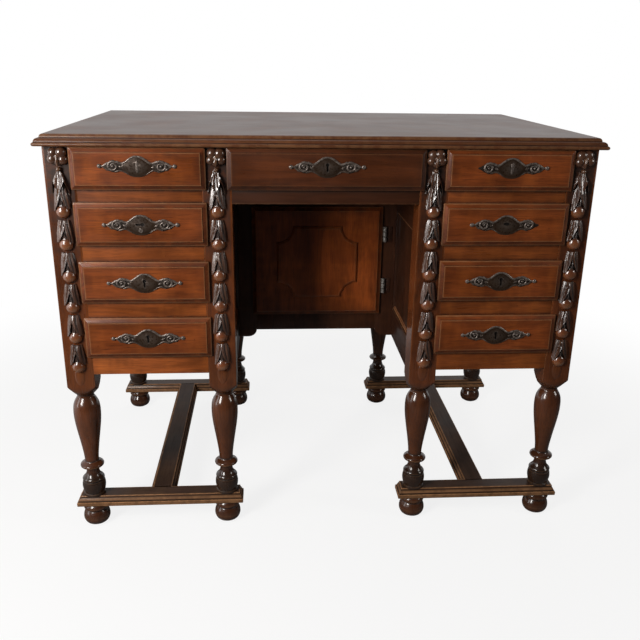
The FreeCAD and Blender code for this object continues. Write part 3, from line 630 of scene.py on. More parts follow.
# Height and darkening on the front of a post, behind its garland: old dirt and painted shade, deepest near
# the top
POST_DIRT_AND_SHADE = ((322.0, 0.1), (430.0, 0.25), (520.0, 0.4), (600.0, 0.6), (670.0, 0.8), (720.0, 0.92),
              (760.0, 0.95))
POST_HALF = 26.0
NECK_HEIGHT = 288.0
# The lathe's cut into the foot of the square post: its height, and its radius at both ends
POST_CUT, CUT_NARROW, CUT_WIDE = 24.0, 15.6, 37.0
CUT_STEPS = (0.04, 0.15, 0.3, 0.45, 0.6, 0.75, 0.88, 1.0)
# A radius past the post's corners
UNCUT = 99.0
TENON_RADIUS, TENON_TOP = 9.9, 68.0


def near(height, table, reach=1.2):
    return max([share * max(0.0, 1 - abs(height - at) / reach) for at, share in table] + [0.0])


def post_ring(angles, half, radius, arris):
    """Radii of a square post met by a round lathe cut."""
    square = half / np.maximum(np.abs(np.cos(angles)), np.abs(np.sin(angles)))
    return np.minimum(np.minimum(square, radius), half * math.sqrt(2) - arris * 0.42)


class DESK_OT_legs(bpy.types.Operator):
    """Square posts that run on into turned legs"""
    bl_idname = "desk.legs"
    bl_label = "Posts and legs"

    def execute(self, context):
        steps = sizes().round_steps
        arris = sizes().post_arris / MM
        corner = math.degrees(math.atan2(POST_HALF - arris, POST_HALF))
        angles = set(np.round(np.linspace(0, 360, steps, endpoint=False), 4))
        for quarter in range(4):
            angles |= {round(quarter * 90 + corner, 4), round(quarter * 90 + 45.0, 4),
                       round(quarter * 90 + 90 - corner, 4)}
        angles = np.radians(sorted(angles))
        on_corner = np.isclose(np.degrees(angles) % 90, 45.0)
        on_front = np.abs(np.degrees(angles) - 270.0) < corner - 0.5
        for name in CORNERS:
            node = name + "_leg"
            low, high = span(node)
            foot = [round(float(at), 2) for at in middle_of(node)]
            rows = []
            for part in LEG_PROFILE:
                line = smooth_line(part, 5) if len(part) > 2 else np.array(part)
                rows += [(np.full(len(angles), radius), height, float(np.interp(height, *LEG_STAIN)))
                         for radius, height in line]
            for share in CUT_STEPS:
                reach = CUT_NARROW + (CUT_WIDE - CUT_NARROW) * share ** 0.92
                rows.append((post_ring(angles, POST_HALF, reach, arris), NECK_HEIGHT + POST_CUT * share,
                             1.0 - 0.65 * share))
            heights, dirt_and_shade = zip(*POST_DIRT_AND_SHADE)
            for height in heights[:-1] + (high[2],):
                darker = float(np.interp(height, (330.0, 440.0), (0.35, 0.0)))
                rows.append((post_ring(angles, POST_HALF, UNCUT, arris), height, darker))
            rings, wear, grime, stain = [], [], [], []
            for radii, height, stained in rows:
                rings.append(np.column_stack([foot[0] + radii * np.cos(angles),
                                              foot[1] + radii * np.sin(angles),
                                              np.full(len(angles), height)]))
                worn_and_highlit = np.full(len(angles), near(height, LEG_SHARP))
                if height > NECK_HEIGHT + POST_CUT / 2:
                    worn_and_highlit = np.where(on_corner, 0.9, 0.0)
                wear.append(worn_and_highlit)
                dirty_and_shaded = np.full(len(angles), near(height, LEG_GRIME))
                if height >= heights[0] and name.endswith("front"):
                    dirty_and_shaded = np.where(on_front, np.interp(height, heights, dirt_and_shade), dirty_and_shaded)
                grime.append(dirty_and_shaded)
                stain.append(np.full(len(angles), stained))
            shape = Shape()
            shape.loft(rings, wear=np.array(wear), grime=np.array(grime), stain=np.array(stain))
            turn(shape, [(TENON_RADIUS, low[2]), (TENON_RADIUS, TENON_TOP)], (*foot, 0.0), 24)
            piece_of(shape, node + "_turned", post_wood(), CARCASE, [node], 34)
        return {"FINISHED"}


# Radius and height of a bun foot, up to the rim and down into its hole
FOOT_PROFILE = [
    [(0.5, 0.0), (13.0, 0.0)],
    [(15.2, 0.5), (21.8, 4.6), (25.2, 10.5), (26.2, 16.5), (25.2, 23.5), (22.9, 29.0),
     (21.4, 31.8)],
    [(21.0, 32.6), (21.2, 33.2)],
    [(22.4, 34.0), (24.2, 36.2), (24.8, 39.2), (24.1, 42.4), (22.6, 44.6), (21.6, 45.9)],
    [(10.3, 45.9), (10.3, 26.0)],
    [(0.5, 26.0)],
]
FOOT_GRIME = ((32.6, 1.0), (46.0, 0.8), (0.0, 0.6))
FOOT_WEAR = ((16.5, 0.25), (39.0, 0.3))
FOOT_STAIN = 0.75


class DESK_OT_feet(bpy.types.Operator):
    """Bun feet, one set on every leg's place"""
    bl_idname = "desk.feet"
    bl_label = "Bun feet"

    def execute(self, context):
        profile = np.vstack([smooth_line(part, 5) if len(part) > 2 else np.array(part)
                             for part in FOOT_PROFILE])
        foot = Shape()
        turn(foot, profile, (0, 0, 0), 48, stain=FOOT_STAIN,
             grime=[near(height, FOOT_GRIME, 2.0) for radius, height in profile],
             wear=[near(height, FOOT_WEAR, 4.0) for radius, height in profile])
        places = [(*middle_of(name + "_leg"), 0.0) for name in CORNERS]
        mesh = repeat(foot, "bun_feet_turned", places, post_wood())
        add_piece(mesh, "bun_feet_turned", CARCASE, ["bun_feet"])
        return {"FINISHED"}


# Inset and height of the stretchers' moulding, with wear and grime
STRETCHER_PROFILE = [
    (9.0, 0.0, 0, 0.6), (1.6, 0.0, 0, 0.4), (0.4, 0.5, 0.4, 0), (0.0, 1.7, 0.7, 0), (0.0, 7.0, 0.5, 0),
    (0.5, 8.3, 1.0, 0), (1.5, 8.9, 0.7, 0.1), (2.4, 9.0, 0, 0.9), (2.6, 9.8, 0, 0.8), (3.6, 12.6, 0.6, 0),
    (5.0, 15.6, 0.4, 0), (6.1, 17.4, 0, 0.4), (6.3, 18.2, 0, 0.9), (6.5, 20.2, 1.0, 0), (7.2, 21.0, 0.7, 0),
    (9.5, 21.0, 0, 0),
]


class DESK_OT_stretchers(bpy.types.Operator):
    """Moulded stretchers, the middle ones coped between the others"""
    bl_idname = "desk.stretchers"
    bl_label = "Stretchers"

    def execute(self, context):
        for hand in HANDS:
            for end in ("front", "rear"):
                node = f"{hand}_{end}_stretcher"
                low, high = span(node)
                rings = [level_ring(low, high, inset, low[2] + height, max(1.2 - inset * 0.1, 0.25))
                         for inset, height, worn_and_highlit, dirty_and_shaded in STRETCHER_PROFILE]
                shape = Shape()
                shape.loft(rings, **marks_of_rows(STRETCHER_PROFILE))
                piece_of(shape, node + "_moulded", stretcher_wood("x"), CARCASE, [node], 28)
            self.middle(hand)
        return {"FINISHED"}

    def middle(self, hand):
        node = f"{hand}_middle_stretcher"
        low, high = span(node)
        front = span(f"{hand}_front_stretcher")[1][1]
        rear = span(f"{hand}_rear_stretcher")[0][1]
        centre = (low[0] + high[0]) / 2
        half = (high[0] - low[0]) / 2
        right = [(half - inset, height, inset) for inset, height, worn_and_highlit, dirty_and_shaded in STRETCHER_PROFILE]
        section = right + [(-x, height, inset) for x, height, inset in reversed(right)]
        rings = [[(centre + x, face + sign * inset, low[2] + height) for x, height, inset in section]
                 for sign, face in ((-1, front), (1, rear))]
        marks = {mark: np.tile(values + values[::-1], 2)
                 for mark, values in marks_of_rows(STRETCHER_PROFILE).items()}
        shape = Shape()
        shape.loft(rings, **marks)
        piece_of(shape, node + "_moulded", stretcher_wood("y"), CARCASE, [node], 28)


# Carved garlands

def sleeve(shape, top, edge, radii, rows, seed, flare=0.8, thick=2.2, ridge=0.5, flat=0.92,
           point=0.82):
    """Grooved leaves side by side round the upright axis, from a height of top down to a cut lower edge.

    edge is rows of (degrees from the front, height): an end, then tips and clefts in turn, then an end.
    """
    chance = np.random.default_rng(seed)
    knots = np.array(edge, float)
    angles, lows, across, leaf_of = [], [], [], []
    for index in range(len(knots) - 1):
        (angle_a, low_a), (angle_b, low_b) = knots[index], knots[index + 1]
        falling = low_b < low_a
        for share in np.linspace(0, 1, 12, endpoint=index == len(knots) - 2):
            bend = 1 - (1 - share) ** point if falling else share ** point
            angles.append(angle_a + (angle_b - angle_a) * share)
            lows.append(low_a + (low_b - low_a) * bend)
            across.append(share - 1 if falling else share)
            leaf_of.append((index + 1) // 2 if falling else index // 2)
    phases = chance.uniform(0, 2 * math.pi, (len(knots), 3))
    along = np.linspace(0, 1, rows)
    body = smooth_line(np.array(radii, float)[:, None], rows)[:, 0]
    body = np.interp(along, np.linspace(0, 1, len(body)), body)
    rings, wear, grime = [], [], []
    for angle, low, u, leaf in zip(angles, lows, across, leaf_of):
        turn_by = math.radians(angle)
        phase = phases[leaf]
        outer, inner, crest = [], [], []
        for t, radius in zip(along, body):
            spread = u * (0.75 + 0.25 * t) + 0.06 * math.sin(5 * t + phase[2])
            groove = math.cos(2 * math.pi * 1.7 * spread + phase[0])
            groove += 0.4 * math.cos(2 * math.pi * 3.1 * spread + phase[1] + 1.3 * t)
            crest.append(groove)
            swell = (0.55 - u * u) * 1.3 * (0.35 + 0.65 * t)
            carved = groove * ridge * (0.35 + 0.65 * math.sin(math.pi * min(1.0, 0.2 + 0.75 * t)))
            surface = radius + swell + carved + flare * t ** 5
            height = top + (low - top) * t
            for line, reach in ((outer, surface), (inner, surface - thick * (1 - 0.3 * t))):
                line.append((reach * math.sin(turn_by), -reach * flat * math.cos(turn_by), height))
        rings.append(outer + inner[::-1])
        crest = np.array(crest)
        wear.append(np.concatenate([np.clip(crest - 0.5, 0, 1) * 0.5, np.zeros(rows)]))
        grime.append(np.concatenate([np.clip(-crest - 0.3, 0, 1) * 0.8, np.ones(rows)]))
    shape.loft(rings, wear=np.array(wear), grime=np.array(grime))


def lathe_bud(shape, profile, centre, steps, pleat_above, pleats=9, deep=0.10, lean=0.0, **marks):
    """A turned bud with pleats above a height; its neck may lean forward."""
    around = np.linspace(0, 2 * math.pi, steps, endpoint=False)
    rings = []
    for radius, height in profile:
        depth = deep * np.clip((height - pleat_above) / 5.0, 0, 1)
        reach = radius * (1 + depth * np.cos(pleats * around))
        forward = lean * min(1.0, max(0.0, (height - 4.0) / 16.0))
        rings.append(np.array(centre) + np.column_stack([
            reach * np.cos(around), reach * 0.96 * np.sin(around) - forward, np.full(steps, height)]))
    shape.loft(rings, **marks)


# Radius and height of the neck over a berry, after the berry's own last point
BERRY_NECK = [(6.2, 12.4), (5.6, 16.0), (4.9, 20.0), (3.9, 25.0), (2.4, 30.0), (0.5, 34.0)]
HUSK_RADII = (8.6, 10.4, 11.8, 12.7, 13.0)


def husk_shape(seed):
    """A husk of two grooved leaves and the berry in its cleft; heights from the berry's middle."""
    chance = np.random.default_rng(seed)
    shape = Shape()
    berry = sizes().berry / MM
    tall = sizes().husk / MM
    rise = np.linspace(-math.pi / 2 + 0.03, 0.95, 18)
    profile = [(berry * math.cos(angle), berry * math.sin(angle)) for angle in rise]
    profile += [tuple(row) for row in smooth_line([profile[-1]] + BERRY_NECK, 3)[1:]]
    # The neck in the cleft above the berry is darkened as painted shade
    lathe_bud(shape, profile, (0.0, -0.3, 0.0), 40, 9.0, 9, 0.12, 4.0,
              wear=[0.6 * max(0.0, 1 - abs(height + 4.0) / 9.0) for radius, height in profile],
              stain=[float(np.interp(height, (4.0, 12.0), (0.5, 0.0))) for radius, height in profile],
              grime=[0.75 * min(1.0, max(0.0, (height - 9.0) / 4.0)) for radius, height in profile])
    left = -64 + chance.uniform(-5, 5)
    right = 62 + chance.uniform(-6, 6)
    cleft = chance.uniform(-16, 6)
    edge = [(-106, 14.0), (left, 3.5 + chance.uniform(-1.5, 1.5)),
            (cleft, 31.0 + chance.uniform(-2.5, 2.0)),
            (right, 4.0 + chance.uniform(-1.5, 1.5)), (106, 14.0)]
    sleeve(shape, tall, edge, HUSK_RADII, 16, seed, 0.8, 2.4, 1.15, 0.9, 1.75)
    return shape


# Petals of a rosette: degrees, distance from its heart, share of the petal's radius
PETALS = ((52, 9.8, 1.2), (128, 9.8, 1.2), (204, 9.6, 1.06), (336, 9.6, 1.06), (270, 8.6, 0.9))
# Lower edge of the calyx, as sleeve takes it
CALYX_EDGE = [(-104, -58.0), (-84, -80.0), (-46, -58.0), (-6, -81.0), (34, -58.0), (80, -84.0), (104, -58.0)]
CALYX_RADII = (4.6, 7.0, 9.8, 12.0, 13.2)
CALYX_TOP = -40.5
CALYX_CORE = [(3.5, -44.0), (6.0, -52.0), (8.0, -60.0), (8.8, -70.0), (8.6, -84.0)]
ROSETTE_HEART = -18.0


def rosette_shape(seed):
    """The flower, its knot and the calyx that the first husk hangs from; heights from the case's top."""
    chance = np.random.default_rng(seed)
    shape = Shape()
    petal = sizes().petal / MM
    heart = ROSETTE_HEART
    for degrees, reach, size in PETALS:
        angle = math.radians(degrees + chance.uniform(-6, 6))
        size = petal * size * chance.uniform(0.95, 1.03)
        centre = (reach * math.cos(angle), -3.6, heart + reach * 0.92 * math.sin(angle))
        ball(shape, centre, (size, size * 0.9, size), 18, wear=0.12)
    ball(shape, (0.0, -5.0, heart + 1.0), 6.6, 16, wear=0.4)
    nose = smooth_line([(0.0, -8.2, heart + 5.0), (0.2, -10.4, heart - 1.0), (0.1, -10.2, heart - 8.0),
                        (-0.2, -7.6, heart - 14.6)], 6)
    thick = np.interp(np.linspace(0, 1, len(nose)), (0, 0.2, 0.6, 1), (0.6, 2.2, 2.9, 1.4))
    tube(shape, nose, thick, 12, wear=0.5)
    ball(shape, (0.0, -4.6, -38.6), (4.2, 5.2, 3.9), 16, wear=0.5)
    sleeve(shape, CALYX_TOP, CALYX_EDGE, CALYX_RADII, 16, seed + 40, 1.4, 2.0, 0.55, 0.86)
    lathe_bud(shape, smooth_line(CALYX_CORE, 3), (0, 0, 0), 24, -99.0, deep=0.06, grime=0.7)
    return shape


TAIL_PROFILE = [(0.4, -42.5), (3.6, -41.0), (7.4, -35.5), (9.8, -27.0), (10.2, -19.0), (8.6, -11.0),
                (4.0, -5.0)]


def tail_shape():
    """The last bud, half sunk in the post under the lowest berry; heights from that berry's middle."""
    shape = Shape()
    profile = smooth_line(TAIL_PROFILE, 4)
    around = np.linspace(0, 2 * math.pi, 30, endpoint=False)
    rings = [np.column_stack([radius * np.cos(around), 1.4 + radius * 0.36 * np.sin(around),
                              np.full(len(around), height)]) for radius, height in profile]
    shape.loft(rings, wear=0.05, stain=0.35, grime=np.clip((profile[:, 1] + 15.0) / 6.0, 0, 1) * 0.5)
    return shape


HUSK_SEEDS = (11, 23, 35, 48)
# Middle of the first berry below the case's top, distance from berry to berry, and how many
BERRY_START, BERRY_PITCH, BERRY_COUNT = 112.0, 58.53, 6


class DESK_OT_garlands(bpy.types.Operator):
    """Carved garlands on the front posts: rosette, husks with berries, tail"""
    bl_idname = "desk.garlands"
    bl_label = "Garlands"

    def execute(self, context):
        finish = wood("carved_garland_wood", tints().carved, "z", 0.30, 0.9, 0.7, stain=tints().rail,
                      shine=0.8, blur=0.22, sleek=0.26)
        glossy = wood("carved_flower_wood", four(tints().carved, 0.85)[:3], "z", 0.2, 0.8, 0.7, shine=0.5)
        case_top = span("top_board")[0][2]
        face = span("front_rails")[0][1]
        first = case_top - BERRY_START
        last = first - BERRY_PITCH * (BERRY_COUNT - 1)
        for side, hand in enumerate(HANDS):
            node = f"{hand}_garlands"
            flowers, tails = Shape(), Shape()
            places = {seed: [] for seed in HUSK_SEEDS}
            for order, place in enumerate(("outer", "inner")):
                x = middle_of(f"{hand}_{place}_front_leg")[0]
                for index in range(BERRY_COUNT):
                    seed = HUSK_SEEDS[(index * 2 + index // 3 + order + side) % len(HUSK_SEEDS)]
                    places[seed].append((x, face, first - BERRY_PITCH * index))
                flower = rosette_shape(7 + order + 2 * side)
                flowers.take(flower, lambda points: points + np.array([x, face, case_top]))
                tails.take(tail_shape(), lambda points: points + np.array([x, face, last]))
            for number, seed in enumerate(HUSK_SEEDS):
                name = f"{hand}_garland_husks_{number + 1}"
                mesh = repeat(husk_shape(seed), name, places[seed], finish, 42)
                add_piece(mesh, name, CARCASE, [node])
            piece_of(flowers, f"{hand}_garland_flowers", glossy, CARCASE, [node], 42)
            piece_of(tails, f"{hand}_garland_tails", post_wood(), CARCASE, [node], 42)
        return {"FINISHED"}


# Rails, sides, back

def rail(shape, x, y, low, high, shown, stain):
    """A rail between two fronts: painted shadow lies along the edges that it shows, under the upper front
    and above the lower front.
    """
    bottom, top = shown
    # Height, inset, wear and grime
    rows = [(low, 0.5, 0.0, 0.0), (low + 0.5, 0.0, 0.3 if bottom <= low else 0.0, 0.0),
            (low + 2.5, 0.0, 0.0, 0.0)]
    # Painted shadow just above the lower front's lip
    if bottom > low + 1.0:
        rows += [(bottom, 0.0, 0.0, 0.9), (bottom + 1.6, 0.0, 0.0, 0.45), (bottom + 5.0, 0.0, 0.0, 0.06)]
    # Painted shadow just under the upper front's lip
    rows += [((bottom + top) / 2, 0.0, 0.0, 0.0), (top - 6.0, 0.0, 0.0, 0.1), (top - 2.4, 0.0, 0.0, 0.55),
             (top, 0.0, 0.0, 1.0), (high - 0.5, 0.0, 0.0, 1.0), (high, 0.5, 0.0, 1.0)]
    corners = list(zip(x, y))
    rings = [level_ring(*corners, inset, height, 0.5) for height, inset, worn_and_highlit, dirty_and_shaded in rows]
    shape.loft(rings, stain=stain, **marks_of_rows(rows))


# How far each rail has darkened, from the top one down: partly the wood's own tone and partly painted shade,
# darker on the right pedestal
RAIL_STAIN_AND_SHADE = {"left": (0.32, 0.1, 0.0, 0.0), "right": (0.3, 0.2, 0.2, 0.16)}
# How far a front laps over a rail, a rail's room beside a drawer box, the height of the centre rail
RAIL_LAP, RAIL_ROOM, CENTRE_RAIL = 8.0, 1.0, 25.0


class DESK_OT_rails(bpy.types.Operator):
    """Rails between the drawers"""
    bl_idname = "desk.rails"
    bl_label = "Front rails"

    def execute(self, context):
        low, high = span("front_rails")
        depth = (low[1], high[1])
        shape = Shape()

        def across(drawer):
            box_low, box_high = span(drawer + "_box")
            return box_low[0] - RAIL_ROOM, box_high[0] + RAIL_ROOM

        for hand in HANDS:
            fronts = [span(f"{hand}_drawer_{row}_front") for row in range(1, 5)]
            for row, front in enumerate(fronts):
                bottom = front[0][2]
                lowest = row == len(fronts) - 1
                under = low[2] if lowest else fronts[row + 1][1][2]
                start = under if lowest else under - RAIL_LAP
                rail(shape, across(f"{hand}_drawer_1"), depth, start, bottom + RAIL_LAP, (under, bottom),
                     RAIL_STAIN_AND_SHADE[hand][row])
        bottom = span("centre_drawer_front")[0][2]
        under = bottom - CENTRE_RAIL
        # The centre rail is darkened fully, partly its own tone and partly painted shade
        rail(shape, across("centre_drawer"), depth, under, bottom + RAIL_LAP, (under, bottom), 1.0)
        piece_of(shape, "front_rail_boards", rail_wood(), CARCASE, ["front_rails"])
        return {"FINISHED"}


# Inset and height of the bead that runs round a framed panel, with wear and grime
BEAD_PROFILE = [
    (0.0, 0.0, 0, 1), (0.0, 2.2, 0, 0.2), (0.6, 3.4, 0.7, 0), (2.2, 4.3, 1.0, 0), (3.9, 3.7, 0.6, 0),
    (4.7, 2.4, 0, 0.6), (5.0, 1.7, 0, 1), (5.6, 1.9, 0.7, 0.1), (7.0, 1.2, 0.4, 0), (7.6, 0.0, 0, 1),
]


def bead_frame(shape, u, v, at, out, axes):
    """A bead moulding inside a rectangle: axes are the indices of u, v and the axis it stands out on."""
    scale = sizes().bead / MM / BEAD_PROFILE[-1][0]
    rings = []
    for inset, rise, worn_and_highlit, dirty_and_shaded in BEAD_PROFILE:
        inset = inset * scale
        points, middles = outline((u[0] + inset, u[1] - inset), (v[0] + inset, v[1] - inset), 0.05, 1)
        ring = np.zeros((len(points), 3))
        ring[:, axes[0]] = points[:, 0]
        ring[:, axes[1]] = points[:, 1]
        ring[:, axes[2]] = at + out * rise * scale
        rings.append(ring)
    shape.loft(rings, "join", **marks_of_rows(BEAD_PROFILE))


# Height of the sides' bottom and top rails, and how far their panels lie back
SIDE_BOTTOM_RAIL, SIDE_TOP_RAIL, PANEL_BACK = 47.0, 158.0, 6.0
# Where the beads of the inner sides end, inside the cupboard
INNER_BEAD_END = -30.0


class DESK_OT_sides(bpy.types.Operator):
    """Framed sides of the pedestals, with a bead round each panel"""
    bl_idname = "desk.sides"
    bl_label = "Sides"

    def execute(self, context):
        # The inner sides in the kneehole are darker still, partly painted shade and partly the wood's own
        # tone
        shaded = four(tints().shaded, 0.7)[:3]
        finishes = {"outer": (wood("polished_side_rail_wood", tints().case, "y", 0.34, 0.25, 0.8),
                              wood("polished_side_panel_wood", tints().case, "z", 0.34, 0.25)),
                    "inner": (wood("shaded_side_rail_wood", shaded, "y", 0.38, 0.2, 0.8),
                              wood("shaded_side_panel_wood", shaded, "z", 0.38, 0.2))}
        # The beads are paler than the panels: worn, and a painted highlight on their edges
        rubbed_and_highlit = wood("highlit_rubbed_bead_wood", tints().case, "y", 0.26, 0.6, 0.7, shine=0.4, rub_and_highlight=1.1)
        arris = sizes().arris / MM
        cupboard_front = span("cupboard_frame")[0][1]
        for hand in HANDS:
            sign = -1 if hand == "left" else 1
            case_low = span(f"{hand}_outer_side")[0][2]
            for wall, (rails, panels) in finishes.items():
                node = f"{hand}_{wall}_side"
                low, high = span(node)
                out = sign if wall == "outer" else -sign
                back, face = (low[0], high[0]) if out > 0 else (high[0], low[0])
                panel_low, panel_high = case_low + SIDE_BOTTOM_RAIL, high[2] - SIDE_TOP_RAIL
                sunk = face - out * PANEL_BACK
                boards, panel, beads = Shape(), Shape(), Shape()
                board(boards, (back, low[1], low[2]), (face, high[1], panel_low), arris, 0.6)
                board(boards, (back, low[1], panel_high), (face, high[1], high[2]), arris, 0.6)
                board(panel, (back, low[1], panel_low), (sunk, high[1], panel_high), 0.3, 0.2)
                end = high[1]
                if wall == "inner":
                    # A strip closes the panel's recess beside the cupboard frame
                    end = INNER_BEAD_END
                    board(boards, (back, cupboard_front - 3.0, panel_low - 1.0),
                          (face - out * 0.4, cupboard_front - 0.3, panel_high + 1.0), 0.3, 0.0)
                bead_frame(beads, (low[1], end), (panel_low, panel_high), sunk, out, (1, 2, 0))
                piece_of(boards, node + "_rails", rails, CARCASE, [node])
                piece_of(panel, node + "_panel", panels, CARCASE, [node], 30)
                piece_of(beads, node + "_beads", rubbed_and_highlit, CARCASE, [node], 30)
        return {"FINISHED"}


class DESK_OT_back(bpy.types.Operator):
    """Planks of the back"""
    bl_idname = "desk.back"
    bl_label = "Back"

    def execute(self, context):
        low, high = span("back_boards")
        finish = wood("plain_back_wood", tints().inner, "z", 0.6, 0.0, 0.6, rub_and_highlight=1.0)
        inner, outer = (-middle_of(f"left_{place}_rear_leg")[0] for place in ("inner", "outer"))
        bays = ((-outer + POST_HALF, -inner - POST_HALF), (-inner + POST_HALF, inner - POST_HALF),
                (inner + POST_HALF, outer - POST_HALF))
        pieces = Shape()
        for left, right in bays:
            count = max(1, round((right - left) / (sizes().plank / MM)))
            edges = np.linspace(left, right, count + 1)
            for start, end in zip(edges, edges[1:]):
                board(pieces, (start, low[1], low[2]), (end, high[1], high[2]), 2.0, 0.0, 0.9)
        piece_of(pieces, "back_planks", finish, CARCASE, ["back_boards"])
        return {"FINISHED"}


# Drawers

# Inset and depth behind the field of a lipped front's edge, with wear and grime; the grime on its back edge,
# where it meets the rail, is painted shade
LIP_PROFILE = [
    (0.5, 10.0, 0, 0.8), (0.0, 9.5, 0, 0.6), (0.0, 6.1, 0.1, 0), (0.25, 5.4, 0.9, 0), (0.9, 5.0, 1.0, 0),
    (1.8, 4.8, 0.3, 0), (3.4, 4.0, 0, 0.05), (5.4, 2.7, 0, 0.1), (7.3, 1.6, 0, 0.3), (8.0, 1.3, 0, 0.8),
    (8.2, 0.7, 0.2, 0.3), (8.6, 0.15, 1.0, 0), (9.4, 0.0, 0.3, 0.15), (11.0, 0.0, 0, 0.28),
    (16.0, 0.0, 0, 0.16), (24.0, 0.0, 0, 0.04), (30.0, 0.0, 0, 0),
]
# Width of the lip's moulding and depth of its back
LIP_WIDE, LIP_DEEP = 8.2, 10.0
# Painted shade on the lower lip and on the right one, and how near the edge they lie
LIP_LOWER_SHADE, LIP_SHADE, LIP_NEAR = 0.6, 0.42, 2.5


def lipped(shape, lip, field, block, stain=0.0, dirt_and_shade=0.0, rubbed_and_highlit=1.0):
    """A lipped front: lip is (x low, x high, z low, z high), field the depth of its face.

    block is the same for the part behind the lip, and ends in the depth of its rear face.
    """
    rings, wear, grime = [], [], []
    for depth, inset in ((block[4], 0.6), (block[4] - 0.6, 0.0), (field + LIP_DEEP, 0.0)):
        line = outline((block[0] + inset, block[1] - inset), (block[2] + inset, block[3] - inset), 0.6)[0]
        rings.append(facing_ring(line, depth))
        wear.append(0.0)
        grime.append(np.zeros(len(line)))
    for inset, depth, worn_and_highlit, dirty_and_shaded in LIP_PROFILE:
        line = outline((lip[0] + inset, lip[1] - inset), (lip[2] + inset, lip[3] - inset),
                       max(1.6 - inset * 0.17, 0.15))[0]
        rings.append(facing_ring(line, field + depth))
        wear.append(worn_and_highlit * rubbed_and_highlit)
        shaded = np.full(len(line), dirty_and_shaded)
        # The lower and right lips are darkened as painted shade
        if inset < LIP_WIDE:
            below = line[:, 1] < lip[2] + inset + LIP_NEAR
            beside = line[:, 0] > lip[1] - inset - LIP_NEAR
            for place, share in ((below, LIP_LOWER_SHADE), (beside, LIP_SHADE)):
                shaded = np.maximum(shaded, np.where(place, share, dirt_and_shade))
        grime.append(shaded)
    shape.loft(rings, wear=wear, grime=np.array(grime), stain=stain)


class DESK_OT_drawer_fronts(bpy.types.Operator):
    """Lipped, moulded drawer fronts"""
    bl_idname = "desk.drawer_fronts"
    bl_label = "Drawer fronts"

    def execute(self, context):
        for drawer in DRAWERS:
            low, high = span(drawer + "_front")
            box = span(drawer + "_box")
            shape = Shape()
            # The centre front is darkened, partly its own tone and partly painted shade, and is less worn
            stain, rubbed_and_highlit = (0.75, 0.3) if drawer == "centre_drawer" else (0.0, 1.0)
            lipped(shape, (low[0], high[0], low[2], high[2]), low[1],
                   (box[0][0], box[1][0], box[0][2], box[1][2], high[1]), stain, rubbed_and_highlit=rubbed_and_highlit)
            piece_of(shape, drawer + "_front_moulded", front_wood(), drawer,
                     [drawer + "_front"], 24)
        return {"FINISHED"}


# The keyhole's middle from the middle of its plate, as (along, up), and points round an outline
PLATE_HEART = np.array([0.0, 1.6])
PLATE_POINTS = 72
# Right half of the shield's edge, from its foot to its head
SHIELD_EDGE = [(0.0, -17.8), (6.6, -17.2), (13.0, -15.2), (18.6, -11.8), (23.2, -7.6), (26.4, -3.2),
               (27.2, 0.4), (25.2, 3.8), (20.8, 7.0), (14.8, 11.4), (9.0, 15.0), (4.0, 17.1), (0.0, 17.7)]
# Right half of the slot under a keyhole's eye
KEYHOLE_SLOT = [(0.0, -6.8), (0.8, -6.8), (1.5, -6.8), (1.5, -5.0), (1.5, -2.4), (1.5, 0.0), (1.5, 1.9)]
# Size and height of the shield's dome, with wear and grime, then of the keyhole's rim, whose inside is
# painted near-black as painted shade
SHIELD_DOME = ((1.0, 0.0, 0, 1.0), (1.0, 0.6, 0, 0.5), (0.98, 1.0, 0.1, 0.1), (0.93, 1.3, 0.1, 0),
               (0.86, 1.5, 0, 0.1), (0.76, 1.75, 0, 0), (0.64, 2.0, 0.1, 0), (0.52, 2.2, 0.1, 0),
               (0.44, 2.3, 0.15, 0))
KEYHOLE_RIM = ((1.25, 2.7, 0.3, 0.0), (1.0, 2.6, 0.4, 0.6), (0.95, 0.15, 0.0, 1.0))


def mirrored_line(half):
    """A closed line from its right half, whose ends lie on the middle."""
    half = np.asarray(half, float)
    return np.vstack([half, half[-2:0:-1] * np.array([-1, 1])])


def by_angle(line):
    """The points where rays from the keyhole's middle meet a closed line."""
    heart = PLATE_HEART
    angles = np.linspace(-math.pi, math.pi, PLATE_POINTS, endpoint=False)
    seen = np.arctan2(line[:, 1] - heart[1], line[:, 0] - heart[0])
    reach = np.linalg.norm(line - heart, axis=1)
    order = np.argsort(seen)
    seen, reach = seen[order], reach[order]
    three_turns = np.concatenate([seen - 2 * math.pi, seen, seen + 2 * math.pi])
    reach = np.interp(angles, three_turns, np.tile(reach, 3))
    return heart + np.column_stack([reach * np.cos(angles), reach * np.sin(angles)])


def keyhole_points(kind):
    """Outline of a keyhole: upright, laid across, or an oval where the slot is worn away."""
    if kind == "oval":
        around = np.linspace(0, 2 * math.pi, 60, endpoint=False)
        return by_angle(np.column_stack([5.4 * np.cos(around), 2.8 + 2.7 * np.sin(around)]))
    eye = np.radians(np.linspace(-62, 242, 40))
    line = np.column_stack([3.0 * np.cos(eye), 4.6 + 3.0 * np.sin(eye)])
    slot = [(-x, z) for x, z in KEYHOLE_SLOT[:0:-1]] + KEYHOLE_SLOT
    points = by_angle(np.vstack([line, slot]))
    if kind == "across":
        turned = PLATE_HEART + (points - PLATE_HEART)[:, ::-1] * np.array([1, -1])
        points = np.roll(turned, -PLATE_POINTS // 4, axis=0)
    return points


def spiral(centre, start, turns, outer, inner, steps, stretch=1.0):
    angle = start + np.linspace(0, turns * 2 * math.pi, steps)
    reach = outer + (inner - outer) * np.linspace(0, 1, steps) ** 0.85
    return np.column_stack([centre[0] + reach * np.cos(angle) * stretch, np.zeros(steps),
                            centre[1] + reach * np.sin(angle)])


